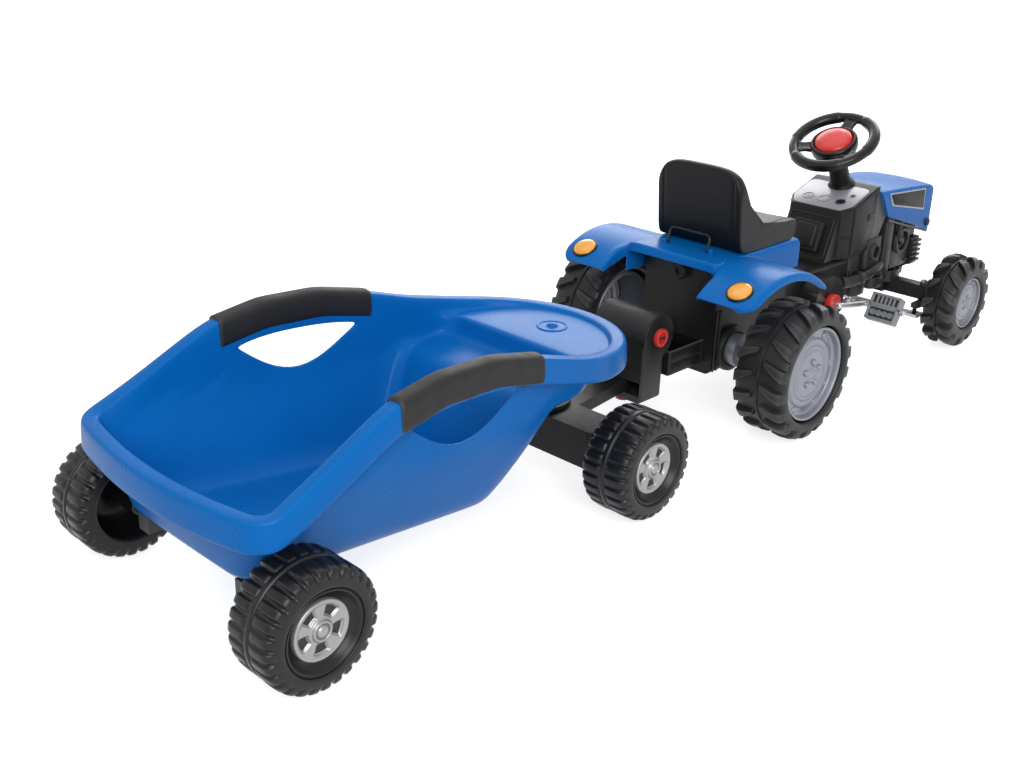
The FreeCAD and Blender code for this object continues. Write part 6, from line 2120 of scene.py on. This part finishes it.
@dataclass
class Studio:
    """Floor, white surroundings, soft lamps and the camera.

    Places and lengths are metres in the row frame, and angles are radians.
    """

    floor_size: float = 60.0
    floor_colour: Colour = (0.62, 0.62, 0.63)
    floor_glow: float = 0.74
    ambient: float = 0.48
    softboxes: tuple[tuple[str, Spot, Spot, float, float], ...] = (
        ("key_softbox", (-2.5, -3.0, 2.3), (0.0, 0.0, 0.2), 2.6, 120.0),
        ("top_softbox", (0.3, 0.5, 3.6), (0.0, 0.0, 0.2), 3.0, 28.0),
        ("front_softbox", (3.2, 0.6, 2.2), (0.2, 0.0, 0.3), 2.0, 45.0),
        ("rear_softbox", (2.4, 2.3, 1.9), (0.2, 0.0, 0.3), 2.0, 45.0),
    )
    camera_place: Spot = (-1.52998, -1.1948, 0.87573)
    camera_yaw: float = 0.76538
    camera_pitch: float = -0.39574
    camera_roll: float = 0.02895
    focal_pixels: float = 1212.19
    sensor: float = 36.0

    def build(self) -> None:
        """Makes the floor, the surroundings, the lamps and the camera."""
        self.build_floor()
        self.build_surroundings()
        for softbox in self.softboxes:
            self.lamp(*softbox)
        self.build_camera()
        bpy.context.scene.view_settings.view_transform = "Standard"

    def build_floor(self) -> None:
        """Lays a wide pale floor that is white to the eye and keeps the soft shadow."""
        half = self.floor_size / 2
        mesh = bpy.data.meshes.new("floor")
        mesh.from_pydata(
            [(-half, -half, 0), (half, -half, 0), (half, half, 0), (-half, half, 0)], [], [(0, 1, 2, 3)],
        )
        floor = bpy.data.objects.new("floor", mesh)
        bpy.context.collection.objects.link(floor)
        finish = bpy.data.materials.new("floor_paper")
        finish.use_nodes = True
        nodes = finish.node_tree.nodes
        links = finish.node_tree.links
        paper = nodes["Principled BSDF"]
        paper.inputs["Base Color"].default_value = (*self.floor_colour, 1.0)
        paper.inputs["Roughness"].default_value = 0.8
        paper.inputs["Specular IOR Level"].default_value = 0.1
        glow = nodes.new("ShaderNodeEmission")
        glow.inputs["Color"].default_value = (1.0, 1.0, 1.0, 1.0)
        glow.inputs["Strength"].default_value = self.floor_glow
        both = nodes.new("ShaderNodeAddShader")
        blend = nodes.new("ShaderNodeMixShader")
        links.new(self.seen(finish.node_tree), blend.inputs["Fac"])
        links.new(paper.outputs["BSDF"], both.inputs[0])
        links.new(glow.outputs["Emission"], both.inputs[1])
        links.new(paper.outputs["BSDF"], blend.inputs[1])
        links.new(both.outputs["Shader"], blend.inputs[2])
        links.new(blend.outputs["Shader"], nodes["Material Output"].inputs["Surface"])
        mesh.materials.append(finish)

    @staticmethod
    def seen(tree: bpy.types.NodeTree) -> bpy.types.NodeSocket:
        """Adds nodes that are 1 for what the camera, a mirror or a lens sees.

        Args:
            tree: The node tree of a material or the world.

        Returns:
            The socket with the value.
        """
        path = tree.nodes.new("ShaderNodeLightPath")
        either = tree.nodes.new("ShaderNodeMath")
        either.operation = "MAXIMUM"
        third = tree.nodes.new("ShaderNodeMath")
        third.operation = "MAXIMUM"
        tree.links.new(path.outputs["Is Camera Ray"], either.inputs[0])
        tree.links.new(path.outputs["Is Glossy Ray"], either.inputs[1])
        tree.links.new(either.outputs["Value"], third.inputs[0])
        tree.links.new(path.outputs["Is Transmission Ray"], third.inputs[1])
        return third.outputs["Value"]

    def build_surroundings(self) -> None:
        """Makes the world white to the eye and an even soft light on the object."""
        world = bpy.data.worlds.new("white_studio")
        bpy.context.scene.world = world
        world.use_nodes = True
        tree = world.node_tree
        light = tree.nodes["Background"]
        light.inputs["Color"].default_value = (0.97, 0.98, 1.0, 1.0)
        light.inputs["Strength"].default_value = self.ambient
        white = tree.nodes.new("ShaderNodeBackground")
        white.inputs["Color"].default_value = (1.0, 1.0, 1.0, 1.0)
        white.inputs["Strength"].default_value = 1.0
        pick = tree.nodes.new("ShaderNodeMixShader")
        tree.links.new(self.seen(tree), pick.inputs["Fac"])
        tree.links.new(light.outputs["Background"], pick.inputs[1])
        tree.links.new(white.outputs["Background"], pick.inputs[2])
        tree.links.new(pick.outputs["Shader"], tree.nodes["World Output"].inputs["Surface"])

    @staticmethod
    def lamp(name: str, place: Spot, target: Spot, size: float, power: float) -> None:
        """Hangs a square softbox.

        Args:
            name: The lamp's name.
            place: Its middle.
            target: The point that it faces.
            size: Its side.
            power: Watts.
        """
        light = bpy.data.lights.new(name, "AREA")
        light.size = size
        light.energy = power
        made = bpy.data.objects.new(name, light)
        made.location = place
        made.rotation_euler = (Vector(target) - Vector(place)).to_track_quat("-Z", "Y").to_euler()
        bpy.context.collection.objects.link(made)

    def build_camera(self) -> None:
        """Sets the camera at the photograph's angle."""
        look = Vector((
            math.cos(self.camera_pitch) * math.cos(self.camera_yaw),
            math.cos(self.camera_pitch) * math.sin(self.camera_yaw),
            math.sin(self.camera_pitch),
        ))
        right = look.cross(Vector((0.0, 0.0, 1.0))).normalized()
        up = right.cross(look)
        turn = Matrix.Rotation(self.camera_roll, 3, -look)
        columns = (turn @ right, turn @ up, -look)
        camera = bpy.data.objects.new("camera", bpy.data.cameras.new("camera"))
        camera.data.sensor_width = self.sensor
        camera.data.sensor_fit = "HORIZONTAL"
        camera.data.lens = self.focal_pixels * self.sensor / IMAGE_WIDTH
        camera.matrix_world = Matrix.Translation(self.camera_place) @ Matrix(columns).transposed().to_4x4()
        bpy.context.collection.objects.link(camera)
        bpy.context.scene.camera = camera


def wheel_nodes(pattern: str) -> tuple[str, ...]:
    """Returns the names of four nodes, one for each end and side, from a pattern with two gaps."""
    return tuple(pattern.format(end, side.word) for end in ("front", "rear") for side in Side)


def dress_frame() -> None:
    """Gives every node of the frame its finish, with soft edges where its shape stays."""
    coats: dict[Coating, tuple[str, ...]] = {
        Coating.BLUE: ("hood", "fender_saddle", "tub"),
        Coating.BLACK: (
            "chassis_left", "chassis_right", "rear_plug", "cowl", "engine_block", "seat", "hitch_bracket",
            "tow_head", "bogie_frame", "trailer_axle_brackets", "front_axle_beam", "knuckle_left",
            "knuckle_right",
        ),
        Coating.GLOSS: ("steering_wheel", "column_sleeve", "grille", "seat_bail"),
        Coating.TREAD: wheel_nodes("{}_tyre_{}"),
        Coating.BLOCKS: wheel_nodes("trailer_wheel_{}_{}"),
        Coating.GRIP: ("tub_grips",),
        Coating.RIM: wheel_nodes("{}_rim_{}") + ("axle_bushes",),
        Coating.PEDAL: ("pedal_left", "pedal_right"),
        Coating.PANEL: ("dash_panel",),
        Coating.DARK: ("hood_panels",),
        Coating.RED: ("horn_button", "crank_caps", "hitch_caps"),
        Coating.ORANGE: ("tail_lamps",),
        Coating.CLEAR: ("headlamps",),
        Coating.SILVER: wheel_nodes("hubcap_{}_{}"),
        Coating.STEEL: (
            "steering_column", "kingpins", "tie_rod", "crank", "crank_sprocket", "chain", "rear_axle",
            "axle_sprocket", "hitch_pins", "bogie_axle", "king_bolt", "trailer_axle",
        ),
    }
    soft_edges: dict[str, float] = {
        "chassis_left": 2.0, "chassis_right": 2.0, "cowl": 2.5, "engine_block": 1.5, "hood": 2.5,
        "seat": 3.0, "fender_saddle": 1.2, "hitch_bracket": 1.5, "tow_head": 1.5, "bogie_frame": 2.0,
        "dash_panel": 0.6, "hood_panels": 0.4, "front_axle_beam": 1.0, "grille": 0.6, "headlamps": 1.0,
        "tail_lamps": 0.8, "crank_caps": 1.2, "hitch_caps": 1.2, "axle_bushes": 1.0,
    }
    for coating, nodes in coats.items():
        for node in nodes:
            dress(node, coating, soft_edges.get(node, 0.0))


def main() -> None:
    """Builds each assembly in order and reports its pieces."""
    logging.basicConfig(level=logging.INFO, format="%(message)s")
    dress_frame()
    for assembly in ASSEMBLIES:
        assembly.build()
    Studio().build()


if __name__ == "__main__":
    main()
